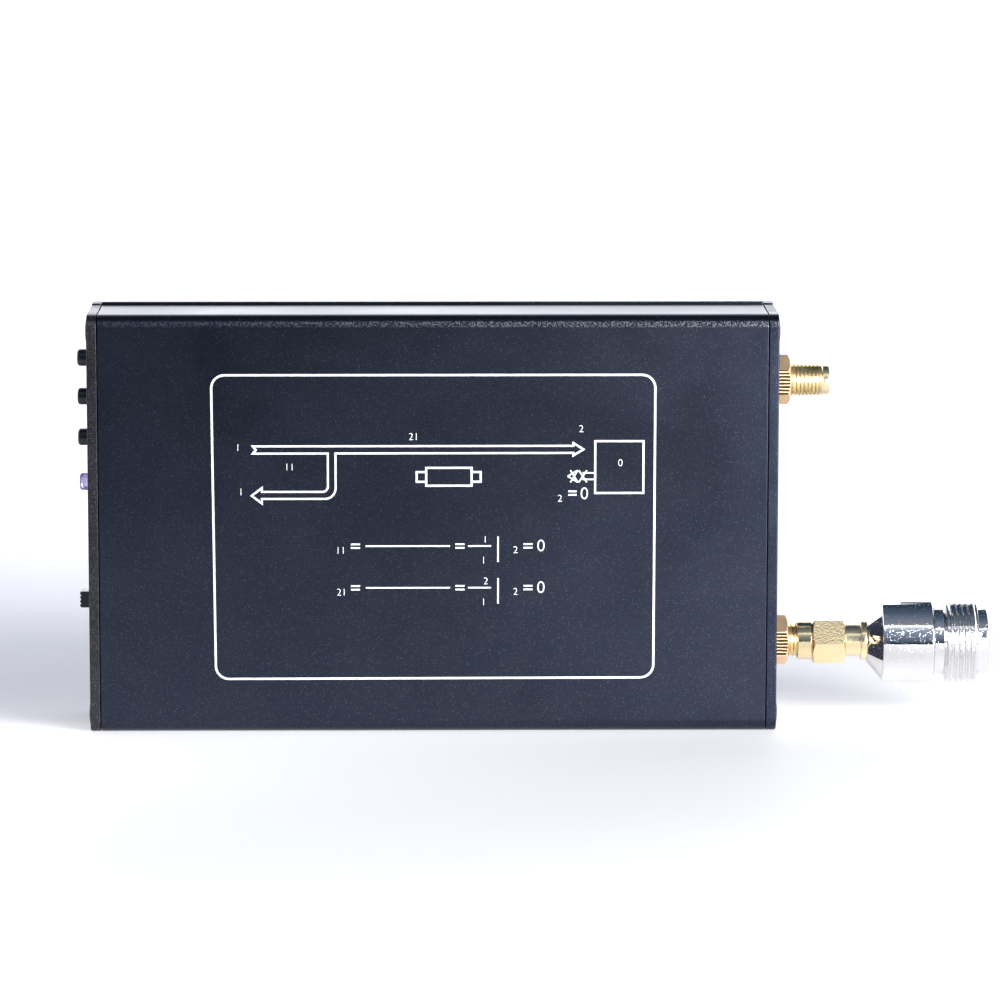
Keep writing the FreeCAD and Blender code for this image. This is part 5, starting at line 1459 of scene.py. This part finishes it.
STROKES = [
    (24.33, 47.21, 26.05, 48.28), (24.33, 47.21, 26.05, 46.14), (24.82, 48.28, 26.13, 46.1),
    (24.82, 46.1, 26.13, 48.28), (26.3, 46.1, 27.77, 48.28), (26.3, 48.28, 27.77, 46.1),
    (27.0, 47.83, 29.09, 47.83), (27.0, 46.64, 29.09, 46.64),
]
for number, stroke in enumerate(STROKES):
    start, end = Vector(stroke[:2]), Vector(stroke[2:])
    side = (end - start).normalized().orthogonal() * 0.13
    corners = [start - side, end - side, end + side, start + side]
    ink_shape(corners, INK_RISE + 0.003 * number)

# %% Fractions and numerals
SMALL, LARGE = 1.35, 2.25
for row in (34.45, 26.78):
    for left, right in ((-12.3, 3.0), (6.27, 10.44)):
        ink_rule(left, right, row, 0.28)
    for left, right in ((-14.97, -13.31), (3.98, 5.63), (16.33, 17.98)):
        for z in (row - 0.33, row + 0.33):
            ink_rule(left, right, z, 0.3)
    ink_shape(rectangle(11.56, row - 2.95, 11.86, row + 1.75))
    ink_number("2", 14.88, row - 0.78, SMALL)
    ink_number("0", 19.5, row - 0.05, LARGE)
for z in (43.80, 44.44):
    ink_rule(24.43, 25.95, z, 0.3)
ink_number("0", 27.34, 43.95, LARGE)
NUMERALS = [("21", -3.56, 54.42), ("11", -26.0, 48.9), ("11", -16.82, 33.6), ("21", -16.67, 25.91)]
NUMERALS += [("1", 9.39, 35.6), ("1", 9.1, 31.75), ("2", 9.5, 27.94), ("1", 9.1, 24.07)]
NUMERALS += [("2", 26.74, 55.82), ("0", 33.84, 49.6), ("2", 22.91, 43.1), ("1", -35.3, 52.45)]
NUMERALS += [("1", -34.8, 44.35)]
for numeral, x, z in NUMERALS:
    ink_number(numeral, x, z, SMALL)
rear_print = joined(ink)
rear_print.name = rear_print.data.name = "rear_print"
finished(rear_print, "case", INK)

# %% [markdown]
# ## Finishes of the parts that stay
#
# The other CAD parts have the right shape already and only need their finish. Each has one material
# slot, which is named for its finish, so one table does them all.

# %% Finishes by slot
BY_SLOT = {
    "display_black": DISPLAY, "black_plastic": BLACK_PLASTIC, "white_plastic": WHITE_PLASTIC,
    "steel": STEEL, "ribbon_film": RIBBON, "board_laminate": LAMINATE, "tinned_steel": TINNED,
    "foam": FOAM, "battery_foil": BATTERY_FILM, "lead_jacket": LEAD_JACKET,
    "gold_plate": GOLD_TURNED, "white_insulator": INSULATOR, "seal_rubber": RUBBER,
    "clear_plastic": LENS, "cover_glass": GLASS, "case_metal": CASE_METAL,
    "black_steel": SCREW_STEEL, "button_plastic": BUTTON_PLASTIC, "nickel_plate": NICKEL,
}
kept = []
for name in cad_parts:
    for place in bpy.data.objects[name].material_slots:
        kind = place.material.name.split(".")[0] if place.material else ""
        place.material = BY_SLOT.get(kind, place.material)
        kept.append(kind)
print("CAD slots with a finish:", len(kept), "unknown:", sorted(set(kept) - set(BY_SLOT)))
